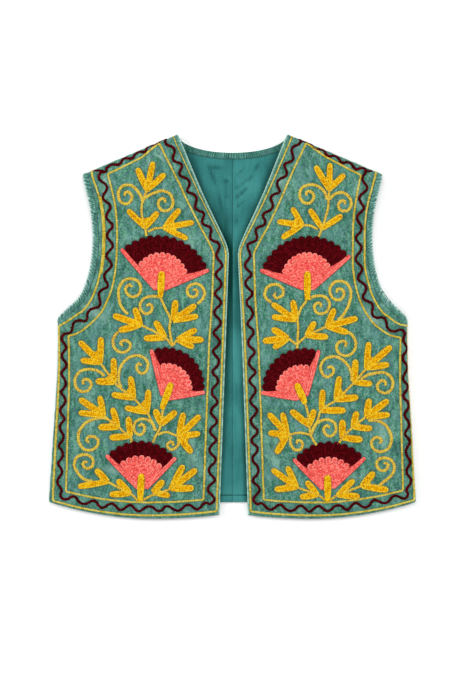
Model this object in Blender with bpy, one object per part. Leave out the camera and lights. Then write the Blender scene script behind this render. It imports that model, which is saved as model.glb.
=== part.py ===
"""An embroidered velvet waistcoat, laid flat on its back with its front edges a little apart.

Sizes are in millimetres and become metres when a mesh is made. X runs across the garment, Y from hem
to neck and Z up from the surface it lies on. The origin is the middle of its outline, on that surface.

Each front is one cloth wall. It lies on the back, rolls round the side and over the shoulder, and ends
in a seam underneath. Its "cloth" coordinates (p, q) are those of the front before it is rolled: on top
they equal x and y, and past the start of a roll they count the length of cloth that goes round it.
Shapes are worked out for the half at x > 0 and mirrored for the other.
"""

import math

import bmesh
import bpy
import numpy as np

MM = 0.001

# Driving dimensions of the garment as it lies
LENGTH = 549.6
CHEST_HALF = 249.3
HEM_HALF = 262.3
SHOULDER_HALF = 213.5
NECK_HALF = 77.9
BACK_NECK_DROP = 26.0
SHOULDER_DROP = 57.6
V_DEPTH = 165.5
UNDERARM_BELOW_TOP = 264.0
HEM_RISE_AT_SIDE = 24.0
HEM_RISE_AT_FRONT = 7.7
HEM_LOWEST_X = 112.6

# Walls and layers
FRONT_WALL = 2.4
BACK_WALL = 2.0
LINING_WALL = 1.0
FACING_WALL = 1.6
EMBROIDERY_WALL = 1.2
SEAM_GAP = 0.3
FRONT_REST_GAP = 1.9
LINING_FOLD_HEIGHT = 1.3

# Rolls round the side and the shoulder: radius to the middle of the cloth, and cloth left underneath
SIDE_ROLL_AT_HEM = 3.6
SIDE_ROLL_AT_UNDERARM = 5.6
SIDE_UNDER = 1.0
SHOULDER_ROLL = 6.4
SHOULDER_UNDER_AT_TIP = 1.0
SHOULDER_UNDER_AT_NECK = 10.0
SIDE_RISE_WIDTH = 60.0
SHOULDER_RISE_WIDTH = 110.0
RISE_FADE_LENGTH = 12.0

# Narrow pieces
BINDING_WIDTH = 9.0
FACING_WIDTH = 9.0

# Small offsets of the cut edges: the seam's dip at the underarm and its rise half way round the roll,
# the shoulder seam's steps at its tip, and the soft turn and bow of the neck edge
UNDERARM_DIP = 3.0
UNDERARM_RISE = 1.0
SHOULDER_TIP_STEPS = (-2.7, 0.0, 0.5)
BACK_TIP_STEP = 2.0
NECK_TURN_RUN = 6.0
NECK_TURN_OUT = 2.5
NECK_BOW = 1.6
HEM_CURVE_POWER = 2.0

# Distance of each front's centre edge from the middle, and how far the back's armhole edge shows past
# the front's near the underarm
SIDES = {
    "left": {"sign": -1, "at_break": 5.2, "at_waist": 9.0, "at_hem": 18.6, "back_shows": -1.5},
    "right": {"sign": 1, "at_break": 7.6, "at_waist": 12.7, "at_hem": 22.1, "back_shows": 1.8},
}
WAIST_Y = -5.0
BACK_TUCK = 1.5
BACK_HEM_DROP = 0.6
BACK_SHOWS_Y = 42.0
BACK_SHOWS_HALF = 34.0

# Outline of the side below the underarm, as (distance from the middle, y)
SIDE_OUTLINE = ((262.3, -250.8), (255.5, -145.0), (250.2, -60.0), (249.3, 30.0))

# Front armhole edge on top, from underarm to shoulder, as (distance from the middle, y)
ARMHOLE_OUTLINE = (
    (235.7, 26.4),
    (218.6, 43.6),
    (205.6, 77.9),
    (200.2, 122.0),
    (202.8, 163.6),
    (209.5, 195.0),
)

# Raised flowers, as (x, y): the two ends of the foot, the tips of the two arms, and where the arms leave
# the cup. A rise is how far the crest's or the cup's arc stands over the line between its ends.
FLOWERS = {
    "upper_left": {
        "foot": ((-113.0, 52.5), (-93.5, 52.5)),
        "tips": ((-158.0, 111.0), (-34.5, 81.5)),
        "cup": ((-135.0, 88.0), (-64.5, 75.5)),
        "crest_rise": 31.5,
        "cup_rise": 23.5,
        "petals": 12,
    },
    "middle_left": {
        "foot": ((-103.0, -98.0), (-91.5, -106.0)),
        "tips": ((-115.0, -33.0), (-40.0, -93.0)),
        "cup": ((-103.0, -54.0), (-58.0, -91.5)),
        "crest_rise": 25.5,
        "cup_rise": 15.0,
        "petals": 10,
    },
    "lower_left": {
        "foot": ((-137.5, -232.5), (-120.5, -232.0)),
        "tips": ((-179.5, -183.5), (-82.0, -187.0)),
        "cup": ((-162.0, -196.5), (-99.5, -201.0)),
        "crest_rise": 20.5,
        "cup_rise": 14.0,
        "petals": 9,
    },
    "upper_right": {
        "foot": ((98.0, 52.5), (117.5, 53.0)),
        "tips": ((40.5, 81.5), (167.0, 101.5)),
        "cup": ((70.5, 76.0), (140.5, 85.5)),
        "crest_rise": 36.0,
        "cup_rise": 25.0,
        "petals": 13,
    },
    "middle_right": {
        "foot": ((90.5, -106.0), (108.5, -98.5)),
        "tips": ((41.5, -93.5), (122.5, -34.0)),
        "cup": ((62.0, -91.5), (110.0, -56.5)),
        "crest_rise": 25.0,
        "cup_rise": 15.0,
        "petals": 10,
    },
    "lower_right": {
        "foot": ((126.0, -233.0), (147.0, -231.0)),
        "tips": ((88.0, -189.0), (188.5, -187.0)),
        "cup": ((105.5, -201.5), (168.5, -200.0)),
        "crest_rise": 22.5,
        "cup_rise": 14.0,
        "petals": 9,
    },
}
ARM_HALF = 3.8
PETAL_DEPTH = 3.0
CUP_STEPS = 2
CREST_STEPS = 3

# Soft upright folds of the lining: distance from the middle, half width and share of the fold height
LINING_FADE = 60.0
LINING_FOLDS = (
    {"x": 16.0, "half_width": 10.0, "height": 1.0},
    {"x": 44.0, "half_width": 15.0, "height": 0.8},
    {"x": 75.0, "half_width": 13.0, "height": 0.5},
)

# Rows and columns of the grids
SIDE_ROWS = 11
ARMHOLE_ROWS = 24
EDGE_ROWS = 8
ROLL_ROWS = 8
ROLL_COLUMNS = 8
ROLL_GRID_MARGIN = 2.0
PANEL_COLUMNS = 10
BINDING_COLUMNS = 2
LINING_ROWS = 14
LINING_COLUMNS = 14
BACK_NECK_STEPS = 12

# Places worked out from the sizes above
TOP_Y = LENGTH / 2
LOW_Y = -LENGTH / 2
UNDERARM_Y = TOP_Y - UNDERARM_BELOW_TOP
V_BREAK_Y = TOP_Y - V_DEPTH
SIDE_HEM_Y = LOW_Y + HEM_RISE_AT_SIDE
BACK_NECK_Y = TOP_Y - BACK_NECK_DROP
LINING_BOTTOM_Z = BACK_WALL + SEAM_GAP
LINING_TOP_Z = LINING_BOTTOM_Z + LINING_WALL
FRONT_LOW_Z = LINING_TOP_Z + FRONT_REST_GAP + FRONT_WALL / 2
SHOULDER_START = SHOULDER_ROLL + FRONT_WALL / 2
SHOULDER_ROLL_LENGTH = math.pi * SHOULDER_ROLL
NECK_POINT = np.array([NECK_HALF, TOP_Y])
SHOULDER_VECTOR = np.array([SHOULDER_HALF - NECK_HALF, -SHOULDER_DROP])
SHOULDER_LENGTH = float(np.linalg.norm(SHOULDER_VECTOR))
SHOULDER_ALONG = SHOULDER_VECTOR / SHOULDER_LENGTH
SHOULDER_OUT = np.array([-SHOULDER_ALONG[1], SHOULDER_ALONG[0]])
SHOULDER_OVER = SHOULDER_ROLL_LENGTH - SHOULDER_START
ROLL_END_Y = UNDERARM_Y + RISE_FADE_LENGTH
EMBROIDERY_LOW = FRONT_WALL / 2 + SEAM_GAP
FACING_BOTTOM_Z = FRONT_WALL + SEAM_GAP
BACK_HEM_Y = SIDE_HEM_Y - BACK_HEM_DROP

MATERIALS = {
    "velvet": {"color": (0.10, 0.29, 0.23), "roughness": 0.85},
    "velvet_binding": {"color": (0.09, 0.26, 0.21), "roughness": 0.85},
    "lining": {"color": (0.04, 0.24, 0.23), "roughness": 0.7},
    "thread_coral": {"color": (0.95, 0.15, 0.13), "roughness": 0.6},
    "thread_maroon": {"color": (0.10, 0.004, 0.012), "roughness": 0.6},
}


def clear_scene():
    for obj in list(bpy.data.objects):
        bpy.data.objects.remove(obj)


def make_material(name):
    facts = MATERIALS[name]
    material = bpy.data.materials.new(name)
    material.use_nodes = True
    shader = material.node_tree.nodes["Principled BSDF"]
    shader.inputs["Base Color"].default_value = (*facts["color"], 1.0)
    shader.inputs["Roughness"].default_value = facts["roughness"]
    shader.inputs["Metallic"].default_value = 0.0
    return material


# ---- Curves in the plane ----


def smoothstep(t):
    t = np.clip(t, 0.0, 1.0)
    return t * t * (3 - 2 * t)


def along(points, shares):
    """Points of a polyline at these shares of its length."""
    points = np.asarray(points, float)
    steps = np.linalg.norm(np.diff(points, axis=0), axis=1)
    run = np.concatenate([[0.0], np.cumsum(steps)])
    at = np.asarray(shares) * run[-1]
    return np.stack([np.interp(at, run, points[:, k]) for k in range(points.shape[1])], axis=1)


def even(points, count):
    """The polyline as this many even steps."""
    return along(points, np.linspace(0, 1, count + 1))


def smooth_curve(points, steps=16):
    """A dense centripetal Catmull-Rom curve through the points."""
    points = np.asarray(points, float)
    ends = np.vstack([2 * points[0] - points[1], points, 2 * points[-1] - points[-2]])
    curve = []
    for i in range(len(points) - 1):
        p = ends[i : i + 4]
        t = np.concatenate([[0.0], np.cumsum(np.linalg.norm(np.diff(p, axis=0), axis=1) ** 0.5)])
        for at in np.linspace(t[1], t[2], steps, endpoint=False):
            a = [((t[k + 1] - at) * p[k] + (at - t[k]) * p[k + 1]) / (t[k + 1] - t[k]) for k in range(3)]
            b = [((t[k + 2] - at) * a[k] + (at - t[k]) * a[k + 1]) / (t[k + 2] - t[k]) for k in range(2)]
            curve.append(((t[2] - at) * b[0] + (at - t[1]) * b[1]) / (t[2] - t[1]))
    curve.append(points[-1])
    return np.array(curve)


def moved_left(curve, distance):
    """The curve moved sideways, to the left of its direction."""
    tangent = np.gradient(curve, axis=0)
    tangent /= np.linalg.norm(tangent, axis=1)[:, None]
    return curve + np.stack([-tangent[:, 1] * distance, tangent[:, 0] * distance], axis=1)


def split_where(curve, measure, limit):
    """The two parts of a curve, cut where a measure that rises along it reaches a limit."""
    values = measure(curve[:, 0], curve[:, 1])
    first = int(np.argmax(values > limit))
    share = (limit - values[first - 1]) / (values[first] - values[first - 1])
    cut = curve[first - 1] + share * (curve[first] - curve[first - 1])
    return np.vstack([curve[:first], cut]), np.vstack([cut, curve[first:]])


# ---- Outline of the garment as it lies ----

SIDE_CURVE = smooth_curve(SIDE_OUTLINE)


def side_x(y):
    """Distance of the side's outline from the middle at height y."""
    return np.interp(y, SIDE_CURVE[:, 1], SIDE_CURVE[:, 0])


def side_roll(y):
    """Radius of the side roll at height y."""
    return np.interp(y, (SIDE_HEM_Y, UNDERARM_Y), (SIDE_ROLL_AT_HEM, SIDE_ROLL_AT_UNDERARM))


def side_start(y):
    """Distance from the middle at which the side roll starts."""
    return side_x(y) - side_roll(y) - FRONT_WALL / 2


def side_seam(y):
    """Cloth coordinate of the side seam at height y."""
    return side_start(y) + math.pi * side_roll(y) + SIDE_UNDER


def back_side(y):
    """Distance of the back's side edge from the middle: just inside the seam, underneath."""
    return side_start(y) - SIDE_UNDER - SEAM_GAP


def hem_y(x):
    """Lower edge of a front: lowest under its middle, level round the side roll."""
    past = np.clip((x - HEM_LOWEST_X) / (HEM_HALF - HEM_LOWEST_X), 0.0, 1.0)
    before = np.clip((HEM_LOWEST_X - x) / HEM_LOWEST_X, 0.0, 1.0)
    return LOW_Y + HEM_RISE_AT_SIDE * past**HEM_CURVE_POWER + HEM_RISE_AT_FRONT * before**2


def shoulder_point(s, beyond):
    """Point at a distance s from the neck along the shoulder, this far beyond its outline."""
    return NECK_POINT + s * SHOULDER_ALONG + beyond * SHOULDER_OUT


def beyond_shoulder_start(p, q):
    """How far a point lies past the line where the shoulder roll starts."""
    return (p - NECK_POINT[0]) * SHOULDER_OUT[0] + (q - NECK_POINT[1]) * SHOULDER_OUT[1] + SHOULDER_START


def back_neck_line(inset, short_of_roll):
    """Back neck edge from the middle to this far short of the shoulder roll, moved in by inset."""
    turn = np.linspace(0.0, math.pi / 2, 97)
    curve = np.stack([NECK_HALF * np.sin(turn), BACK_NECK_Y + BACK_NECK_DROP * (1 - np.cos(turn))], axis=1)
    edge = even(split_where(curve, beyond_shoulder_start, -short_of_roll)[0], BACK_NECK_STEPS)
    line = moved_left(edge, -inset)
    line[0][0] = 0.0
    return line


def along_shoulder(point):
    """Distance of a point from the neck, measured along the shoulder."""
    return float((point - NECK_POINT) @ SHOULDER_ALONG)


# ---- The cloth of a front ----


def front_height(p, q):
    """Height of the middle of the cloth on top: low on the lining, risen towards the rolls."""
    to_side = np.maximum(side_start(q) - p, 0.0)
    above_roll = np.maximum(q - ROLL_END_Y, 0.0)
    side = smoothstep(np.hypot(to_side, above_roll) / SIDE_RISE_WIDTH)
    shoulder = smoothstep(np.maximum(-beyond_shoulder_start(p, q), 0.0) / SHOULDER_RISE_WIDTH)
    side_top = FRONT_WALL / 2 + 2 * side_roll(q)
    shoulder_top = FRONT_WALL / 2 + 2 * SHOULDER_ROLL
    at_side = (side_top - FRONT_LOW_Z) * (1 - side)
    at_shoulder = (shoulder_top - FRONT_LOW_Z) * (1 - shoulder)
    return FRONT_LOW_Z + at_side * shoulder + at_shoulder


def rolled(distance, radius):
    """(outward, height) of cloth this far past the start of a roll."""
    angle = np.clip(distance / radius, 0.0, math.pi)
    under = np.maximum(distance - math.pi * radius, 0.0)
    return radius * np.sin(angle) - under, FRONT_WALL / 2 + radius * (1 + np.cos(angle))


def front_middle(p, q):
    """Middle of a front's cloth in space, from its cloth coordinates."""
    x, y, z = p, q, front_height(p, q)
    past = p - side_start(q)
    out, height = rolled(np.maximum(past, 0.0), side_roll(q))
    x = np.where(past > 0, p - past + out, x)
    z = np.where(past > 0, height, z)
    past = beyond_shoulder_start(p, q)
    out, height = rolled(np.maximum(past, 0.0), SHOULDER_ROLL)
    x = np.where(past > 0, p + (out - past) * SHOULDER_OUT[0], x)
    y = np.where(past > 0, q + (out - past) * SHOULDER_OUT[1], y)
    z = np.where(past > 0, height, z)
    return np.stack([x, y, z], axis=-1)


def front_surface(grid, lift):
    """Points of a front moved out from the middle of its cloth, along its normal."""
    p, q = grid[..., 0], grid[..., 1]
    step = 0.05
    across = front_middle(p + step, q) - front_middle(p - step, q)
    upwards = front_middle(p, q + step) - front_middle(p, q - step)
    normal = np.cross(across, upwards)
    normal /= np.linalg.norm(normal, axis=-1, keepdims=True)
    return front_middle(p, q) + lift * normal


# ---- Cut edges of a front, in cloth coordinates ----


def armhole_rows(inset):
    """Front armhole edge from the side seam to the shoulder seam, moved in by inset, as grid rows."""
    half_round = math.pi * SIDE_ROLL_AT_UNDERARM / 2
    curve = smooth_curve(
        [
            (side_seam(UNDERARM_Y), UNDERARM_Y - UNDERARM_DIP),
            (side_start(UNDERARM_Y) + half_round, UNDERARM_Y + UNDERARM_RISE),
            *ARMHOLE_OUTLINE,
            shoulder_point(SHOULDER_LENGTH - SHOULDER_TIP_STEPS[0], -SHOULDER_START),
            shoulder_point(SHOULDER_LENGTH - SHOULDER_TIP_STEPS[1], SHOULDER_OVER / 2),
            shoulder_point(SHOULDER_LENGTH - SHOULDER_TIP_STEPS[2], SHOULDER_OVER + SHOULDER_UNDER_AT_TIP),
        ]
    )
    on_top, on_shoulder = split_where(curve, beyond_shoulder_start, 0.0)
    on_side, on_top = split_where(on_top, lambda p, q: side_start(q) - p, ROLL_GRID_MARGIN)
    parts = [even(on_side, ROLL_COLUMNS), even(on_top, ARMHOLE_ROWS)[1:], even(on_shoulder, ROLL_ROWS)[1:]]
    return moved_left(np.vstack(parts), inset)


def front_edge_rows(side, underarm_y):
    """Front edge as grid rows: up to the underarm's height, and on to the neck end of the shoulder seam."""
    lower = smooth_curve(
        [
            (side["at_hem"], hem_y(side["at_hem"])),
            (side["at_waist"], WAIST_Y),
            (side["at_break"], V_BREAK_Y - NECK_TURN_RUN),
        ]
    )
    start = shoulder_point(0.0, -SHOULDER_START)
    turn = np.array([side["at_break"] + NECK_TURN_OUT, V_BREAK_Y + NECK_TURN_RUN])
    bow = np.array([NECK_BOW, 0.0])
    underneath = along_shoulder(back_neck_line(0.0, 0.0)[-1])
    at_seam = along_shoulder(back_neck_line(0.0, SHOULDER_UNDER_AT_NECK)[-1])
    upper = smooth_curve(
        [
            lower[-1],
            turn,
            turn + (start - turn) / 2 + bow,
            start,
            shoulder_point(0.0, SHOULDER_OVER / 2),
            shoulder_point(underneath, SHOULDER_OVER),
            shoulder_point(at_seam, SHOULDER_OVER + SHOULDER_UNDER_AT_NECK),
        ]
    )
    below, above = split_where(lower, lambda p, q: q, underarm_y)
    neck, on_shoulder = split_where(upper, beyond_shoulder_start, 0.0)
    neck_rows = ARMHOLE_ROWS - EDGE_ROWS
    parts = [even(above, EDGE_ROWS), even(neck, neck_rows)[1:], even(on_shoulder, ROLL_ROWS)[1:]]
    return even(below, SIDE_ROWS), np.vstack(parts)


def coons(bottom, top, outer, inner, across, up):
    """A grid of points inside four edges. Rows go up, columns from the outer edge to the inner."""
    u = np.asarray(across)[None, :, None]
    v = np.asarray(up)[:, None, None]
    sides = (1 - u) * outer[:, None, :] + u * inner[:, None, :]
    ends = (1 - v) * bottom[None, :, :] + v * top[None, :, :]
    low = (1 - u) * bottom[0] + u * bottom[-1]
    high = (1 - u) * top[0] + u * top[-1]
    return sides + ends - ((1 - v) * low + v * high)


def row_shares(outer, inner):
    """How far up each row lies, from both edges' lengths."""
    steps = np.linalg.norm(np.diff(outer, axis=0), axis=1) + np.linalg.norm(np.diff(inner, axis=0), axis=1)
    return np.concatenate([[0.0], np.cumsum(steps)]) / steps.sum()


def front_grid(side):
    """Cloth coordinates of a front's grid. Below the underarm it has the side roll's columns too: above
    it, those columns are left out, and repeat the first point on the armhole's edge."""
    arm = armhole_rows(BINDING_WIDTH + SEAM_GAP)
    underarm, arm = arm[: ROLL_COLUMNS + 1], arm[ROLL_COLUMNS:]
    seam_y = np.linspace(SIDE_HEM_Y, underarm[0][1], SIDE_ROWS + 1)
    seam = np.stack([side_seam(seam_y), seam_y], axis=1)
    seam[-1] = underarm[0]
    low_edge, high_edge = front_edge_rows(side, arm[0][1])
    width = side_seam(SIDE_HEM_Y) - side["at_hem"]
    roll_share = (side_seam(SIDE_HEM_Y) - side_start(SIDE_HEM_Y) + ROLL_GRID_MARGIN) / width
    rolling = np.linspace(0, roll_share, ROLL_COLUMNS + 1)
    across = np.concatenate([rolling, np.linspace(roll_share, 1, PANEL_COLUMNS + 1)[1:]])
    hem_x = seam[0][0] + across * (low_edge[0][0] - seam[0][0])
    bottom = np.stack([hem_x, hem_y(hem_x)], axis=1)
    panel = np.linspace(0, 1, PANEL_COLUMNS + 1)
    middle = arm[0] + panel[:, None] * (low_edge[-1] - arm[0])
    top = arm[-1] + panel[:, None] * (high_edge[-1] - arm[-1])
    low_top = np.vstack([underarm, middle[1:]])
    lower = coons(bottom, low_top, seam, low_edge, across, row_shares(seam, low_edge))
    upper = coons(middle, top, arm, high_edge, panel, row_shares(arm, high_edge))[1:]
    return np.vstack([lower, np.hstack([np.repeat(upper[:, :1], ROLL_COLUMNS, axis=1), upper])])


# ---- Building solids ----


def add_object(name, bm, material):
    bmesh.ops.recalc_face_normals(bm, faces=bm.faces)
    bmesh.ops.triangulate(bm, faces=bm.faces)
    mesh = bpy.data.meshes.new(name)
    bm.to_mesh(mesh)
    bm.free()
    mesh.materials.append(material)
    mesh.shade_smooth()
    mesh.set_sharp_from_angle(angle=math.radians(40))
    obj = bpy.data.objects.new(name, mesh)
    bpy.context.scene.collection.objects.link(obj)
    return obj


def whole_grid(grid):
    """All the cells of a grid of points, as (row, column)."""
    return [(r, c) for r in range(grid.shape[0] - 1) for c in range(grid.shape[1] - 1)]


def add_wall(name, outside, inside, cells, material, sign):
    """A closed wall between two matching grids of points, mirrored where sign is -1."""
    flip = np.array([sign, 1.0, 1.0]) * MM
    bm = bmesh.new()
    rings = [((r, c), (r, c + 1), (r + 1, c + 1), (r + 1, c)) for r, c in cells]
    layers = []
    for grid in (outside, inside):
        layer = {key: bm.verts.new(grid[key] * flip) for key in sorted(set(sum(rings, ())))}
        for ring in rings:
            bm.faces.new([layer[key] for key in ring])
        layers.append(layer)
    steps = {step for ring in rings for step in zip(ring, ring[1:] + ring[:1])}
    outer, inner = layers
    for a, b in sorted(steps):
        if (b, a) not in steps:
            bm.faces.new((outer[a], outer[b], inner[b], inner[a]))
    return add_object(name, bm, material)


def add_flat(name, outline, bottom_z, thickness, material):
    """A flat piece of cloth with this outline."""
    bm = bmesh.new()
    face = bm.faces.new([bm.verts.new((x * MM, y * MM, bottom_z * MM)) for x, y in outline])
    raised = bmesh.ops.extrude_face_region(bm, geom=[face])
    verts = [item for item in raised["geom"] if isinstance(item, bmesh.types.BMVert)]
    bmesh.ops.translate(bm, verts=verts, vec=(0, 0, thickness * MM))
    return add_object(name, bm, material)


# ---- The pieces ----


def build_front(name, side, materials):
    grid = front_grid(side)
    outside = front_surface(grid, FRONT_WALL / 2)
    inside = front_surface(grid, -FRONT_WALL / 2)
    cells = [(r, c) for r, c in whole_grid(grid) if r < SIDE_ROWS or c >= ROLL_COLUMNS]
    add_wall(f"front_{name}", outside, inside, cells, materials["velvet"], side["sign"])


def build_front_binding(name, side, materials):
    """The armhole binding on a front, from the side seam round to the shoulder seam."""
    edge = armhole_rows(0.0)
    inner = armhole_rows(BINDING_WIDTH)
    shares = np.linspace(0, 1, BINDING_COLUMNS + 1)[None, :, None]
    grid = edge[:, None, :] * (1 - shares) + inner[:, None, :] * shares
    outside = front_surface(grid, FRONT_WALL / 2)
    inside = front_surface(grid, -FRONT_WALL / 2)
    material = materials["velvet_binding"]
    add_wall(f"binding_front_{name}", outside, inside, whole_grid(grid), material, side["sign"])


def back_armhole_rows(side, inset):
    """Back armhole edge from the side seam to the shoulder seam, moved in by inset."""
    edge = smooth_curve(ARMHOLE_OUTLINE)
    near = np.clip(np.abs(edge[:, 1] - BACK_SHOWS_Y) / BACK_SHOWS_HALF, 0.0, 1.0)
    edge = moved_left(edge, BACK_TUCK - (side["back_shows"] + BACK_TUCK) * (1 + np.cos(math.pi * near)) / 2)
    start = (back_side(UNDERARM_Y), UNDERARM_Y - UNDERARM_DIP)
    beyond = -SHOULDER_START - SHOULDER_UNDER_AT_TIP - SEAM_GAP
    end = shoulder_point(SHOULDER_LENGTH - BACK_TIP_STEP, beyond)
    curve = np.vstack([smooth_curve([start, edge[0], edge[8]])[:16], edge, end])
    return moved_left(even(curve, ROLL_COLUMNS + ARMHOLE_ROWS), inset)


def build_back_binding(name, side, materials):
    edge = back_armhole_rows(side, 0.0)
    inner = back_armhole_rows(side, BINDING_WIDTH)
    outline = [(side["sign"] * x, y) for x, y in np.vstack([edge, inner[::-1]])]
    add_flat(f"binding_back_{name}", outline, 0.0, BACK_WALL, materials["velvet_binding"])


def back_half_outline(side):
    """Outline of half the back at x > 0, from the middle of the hem to the middle of the neck."""
    arm = back_armhole_rows(side, BINDING_WIDTH + SEAM_GAP)
    side_y = np.linspace(BACK_HEM_Y, arm[0][1], SIDE_ROWS + 1)[:-1]
    edge = np.stack([back_side(side_y), side_y], axis=1)
    neck = back_neck_line(0.0, SHOULDER_UNDER_AT_NECK + SEAM_GAP)
    return np.vstack([[(0.0, BACK_HEM_Y)], edge, arm, neck[::-1]])


def build_back(materials):
    right = back_half_outline(SIDES["right"])
    left = back_half_outline(SIDES["left"])[1:-1][::-1] * (-1, 1)
    add_flat("back", np.vstack([right, left]), 0.0, BACK_WALL, materials["velvet"])


def build_neck_facing(materials):
    """The velvet turned in at the back neck, lying on the back."""
    edge = back_neck_line(0.0, 0.0)
    low = back_neck_line(FACING_WIDTH, 0.0)
    line = np.vstack([low, edge[::-1]])
    mirror = np.vstack([edge[1:], low[:0:-1]]) * (-1, 1)
    material = materials["velvet_binding"]
    add_flat("neck_facing", np.vstack([line, mirror]), FACING_BOTTOM_Z, FACING_WALL, material)


def lining_grid(side):
    """Plan of half the lining, from the seam in the middle to the side seam and armhole."""
    arm = back_armhole_rows(side, BINDING_WIDTH + SEAM_GAP)
    arm = arm[beyond_shoulder_start(arm[:, 0], arm[:, 1]) < -SHOULDER_UNDER_AT_NECK]
    side_rows = LINING_ROWS // 2
    side_y = np.linspace(BACK_HEM_Y, arm[0][1], side_rows + 1)[:-1]
    edge = np.stack([back_side(side_y), side_y], axis=1)
    outer = np.vstack([edge, even(arm, LINING_ROWS - side_rows)])
    neck = back_neck_line(FACING_WIDTH + SEAM_GAP, SHOULDER_UNDER_AT_NECK + 1.0)
    inner_y = np.linspace(BACK_HEM_Y, neck[0][1], LINING_ROWS + 1)
    inner = np.stack([np.full(LINING_ROWS + 1, SEAM_GAP / 2), inner_y], axis=1)
    top_line = np.vstack([outer[-1], neck[:0:-1], inner[-1]])
    top = even(top_line, LINING_COLUMNS)
    across = np.linspace(0, 1, LINING_COLUMNS + 1)
    bottom = outer[0] + across[:, None] * (inner[0] - outer[0])
    return coons(bottom, top, outer, inner, across, row_shares(outer, inner))


def lining_rise(x, y):
    """Height that the lining's folds add, fading out towards the hem and the neck."""
    over_hem = smoothstep((y - BACK_HEM_Y) / LINING_FADE)
    fade = over_hem * smoothstep((BACK_NECK_Y - FACING_WIDTH - y) / LINING_FADE)
    rise = np.zeros_like(x)
    for fold in LINING_FOLDS:
        near = np.clip(np.abs(x - fold["x"]) / fold["half_width"], 0.0, 1.0)
        rise = rise + fold["height"] * LINING_FOLD_HEIGHT * (1 + np.cos(math.pi * near)) / 2
    return rise * fade


def build_lining(name, side, materials):
    grid = lining_grid(side)
    rise = lining_rise(grid[..., 0], grid[..., 1])
    outside = np.dstack([grid, LINING_TOP_Z + rise])
    inside = np.dstack([grid, LINING_BOTTOM_Z + rise])
    add_wall(f"back_lining_{name}", outside, inside, whole_grid(grid), materials["lining"], side["sign"])


def arc_over(start, end, rise, shares, depths):
    """Points of the arc from start to end that stands this far over their line, moved in by depths."""
    start, end = np.asarray(start), np.asarray(end)
    chord = end - start
    width = float(np.linalg.norm(chord))
    across = chord / width
    over = np.array([-across[1], across[0]])
    radius = (width**2 / 4 + rise**2) / (2 * rise)
    centre = (start + end) / 2 + over * (rise - radius)
    turn = (2 * np.asarray(shares) - 1) * math.asin(width / 2 / radius)
    reach = radius - np.asarray(depths)
    return centre + np.outer(reach * np.sin(turn), across) + np.outer(reach * np.cos(turn), over)


def petal_edge(start, end, rise, count, steps):
    """An arc edged with this many round petals."""
    shares = np.linspace(0, 1, count * steps + 1)
    depths = PETAL_DEPTH * (1 - np.abs(np.sin(math.pi * count * shares)))
    return arc_over(start, end, rise, shares, depths)


def raise_piece(name, low, high, rows, material):
    """Embroidery on a front, between a low and a high line of matching points."""
    sign = 1 if low[0][0] > 0 else -1
    shares = np.linspace(0, 1, rows + 1)[:, None, None]
    grid = (np.asarray(low) * (1 - shares) + np.asarray(high) * shares) * (sign, 1)
    outside = front_surface(grid, EMBROIDERY_LOW + EMBROIDERY_WALL)
    inside = front_surface(grid, EMBROIDERY_LOW)
    add_wall(name, outside, inside, whole_grid(grid), material, sign)


def build_flower(name, flower, materials):
    """A raised flower: a cup with two arms, and a crest of petals between them."""
    foot, tips, cup = (np.array(flower[key]) for key in ("foot", "tips", "cup"))
    arms = tips - foot
    arms /= np.linalg.norm(arms, axis=1)[:, None]
    inward = np.stack([arms[:, 1] * (1, -1), arms[:, 0] * (-1, 1)], axis=1)
    outer_tips = tips - ARM_HALF * inward
    inner_tips = tips + ARM_HALF * inward
    edge = petal_edge(cup[0], cup[1], flower["cup_rise"], flower["petals"] - 2, CUP_STEPS)
    high = np.vstack([outer_tips[0], inner_tips[0], edge, inner_tips[1], outer_tips[1]])
    low = foot[0] + np.linspace(0, 1, len(high))[:, None] * (foot[1] - foot[0])
    raise_piece(f"flower_cup_{name}", low, high, 2, materials["thread_coral"])

    crest_tips = inner_tips + 2 * SEAM_GAP * inward
    high = petal_edge(crest_tips[0], crest_tips[1], flower["crest_rise"], flower["petals"], CREST_STEPS)
    starts = cup + 3 * SEAM_GAP * (inward + arms)
    low = arc_over(starts[0], starts[1], flower["cup_rise"], np.linspace(0, 1, len(high)), 0.0)
    raise_piece(f"flower_crest_{name}", low, high, 1, materials["thread_maroon"])


def build():
    clear_scene()
    materials = {name: make_material(name) for name in MATERIALS}
    build_back(materials)
    build_neck_facing(materials)
    for name, side in SIDES.items():
        build_front(name, side, materials)
        build_front_binding(name, side, materials)
        build_back_binding(name, side, materials)
        build_lining(name, side, materials)
    for name, flower in FLOWERS.items():
        build_flower(name, flower, materials)


build()
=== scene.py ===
import math

import bmesh
import bpy
import numpy as np
from mathutils.kdtree import KDTree
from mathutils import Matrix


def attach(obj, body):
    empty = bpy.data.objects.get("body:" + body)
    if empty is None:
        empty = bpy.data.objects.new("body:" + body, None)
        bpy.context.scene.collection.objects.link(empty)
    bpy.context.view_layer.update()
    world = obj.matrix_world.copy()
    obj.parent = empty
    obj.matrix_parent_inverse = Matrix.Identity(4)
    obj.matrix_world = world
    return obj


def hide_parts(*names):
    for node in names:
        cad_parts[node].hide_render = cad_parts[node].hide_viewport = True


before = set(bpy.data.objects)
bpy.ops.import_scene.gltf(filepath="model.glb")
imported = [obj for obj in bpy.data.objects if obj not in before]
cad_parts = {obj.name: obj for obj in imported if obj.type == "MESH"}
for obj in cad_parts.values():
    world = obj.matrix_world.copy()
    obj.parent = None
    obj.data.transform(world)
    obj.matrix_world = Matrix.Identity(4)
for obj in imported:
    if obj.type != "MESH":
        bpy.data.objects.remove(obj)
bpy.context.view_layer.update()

MM = 0.001

# ---- Sizes of the garment, in millimetres, as in the solids ----

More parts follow.
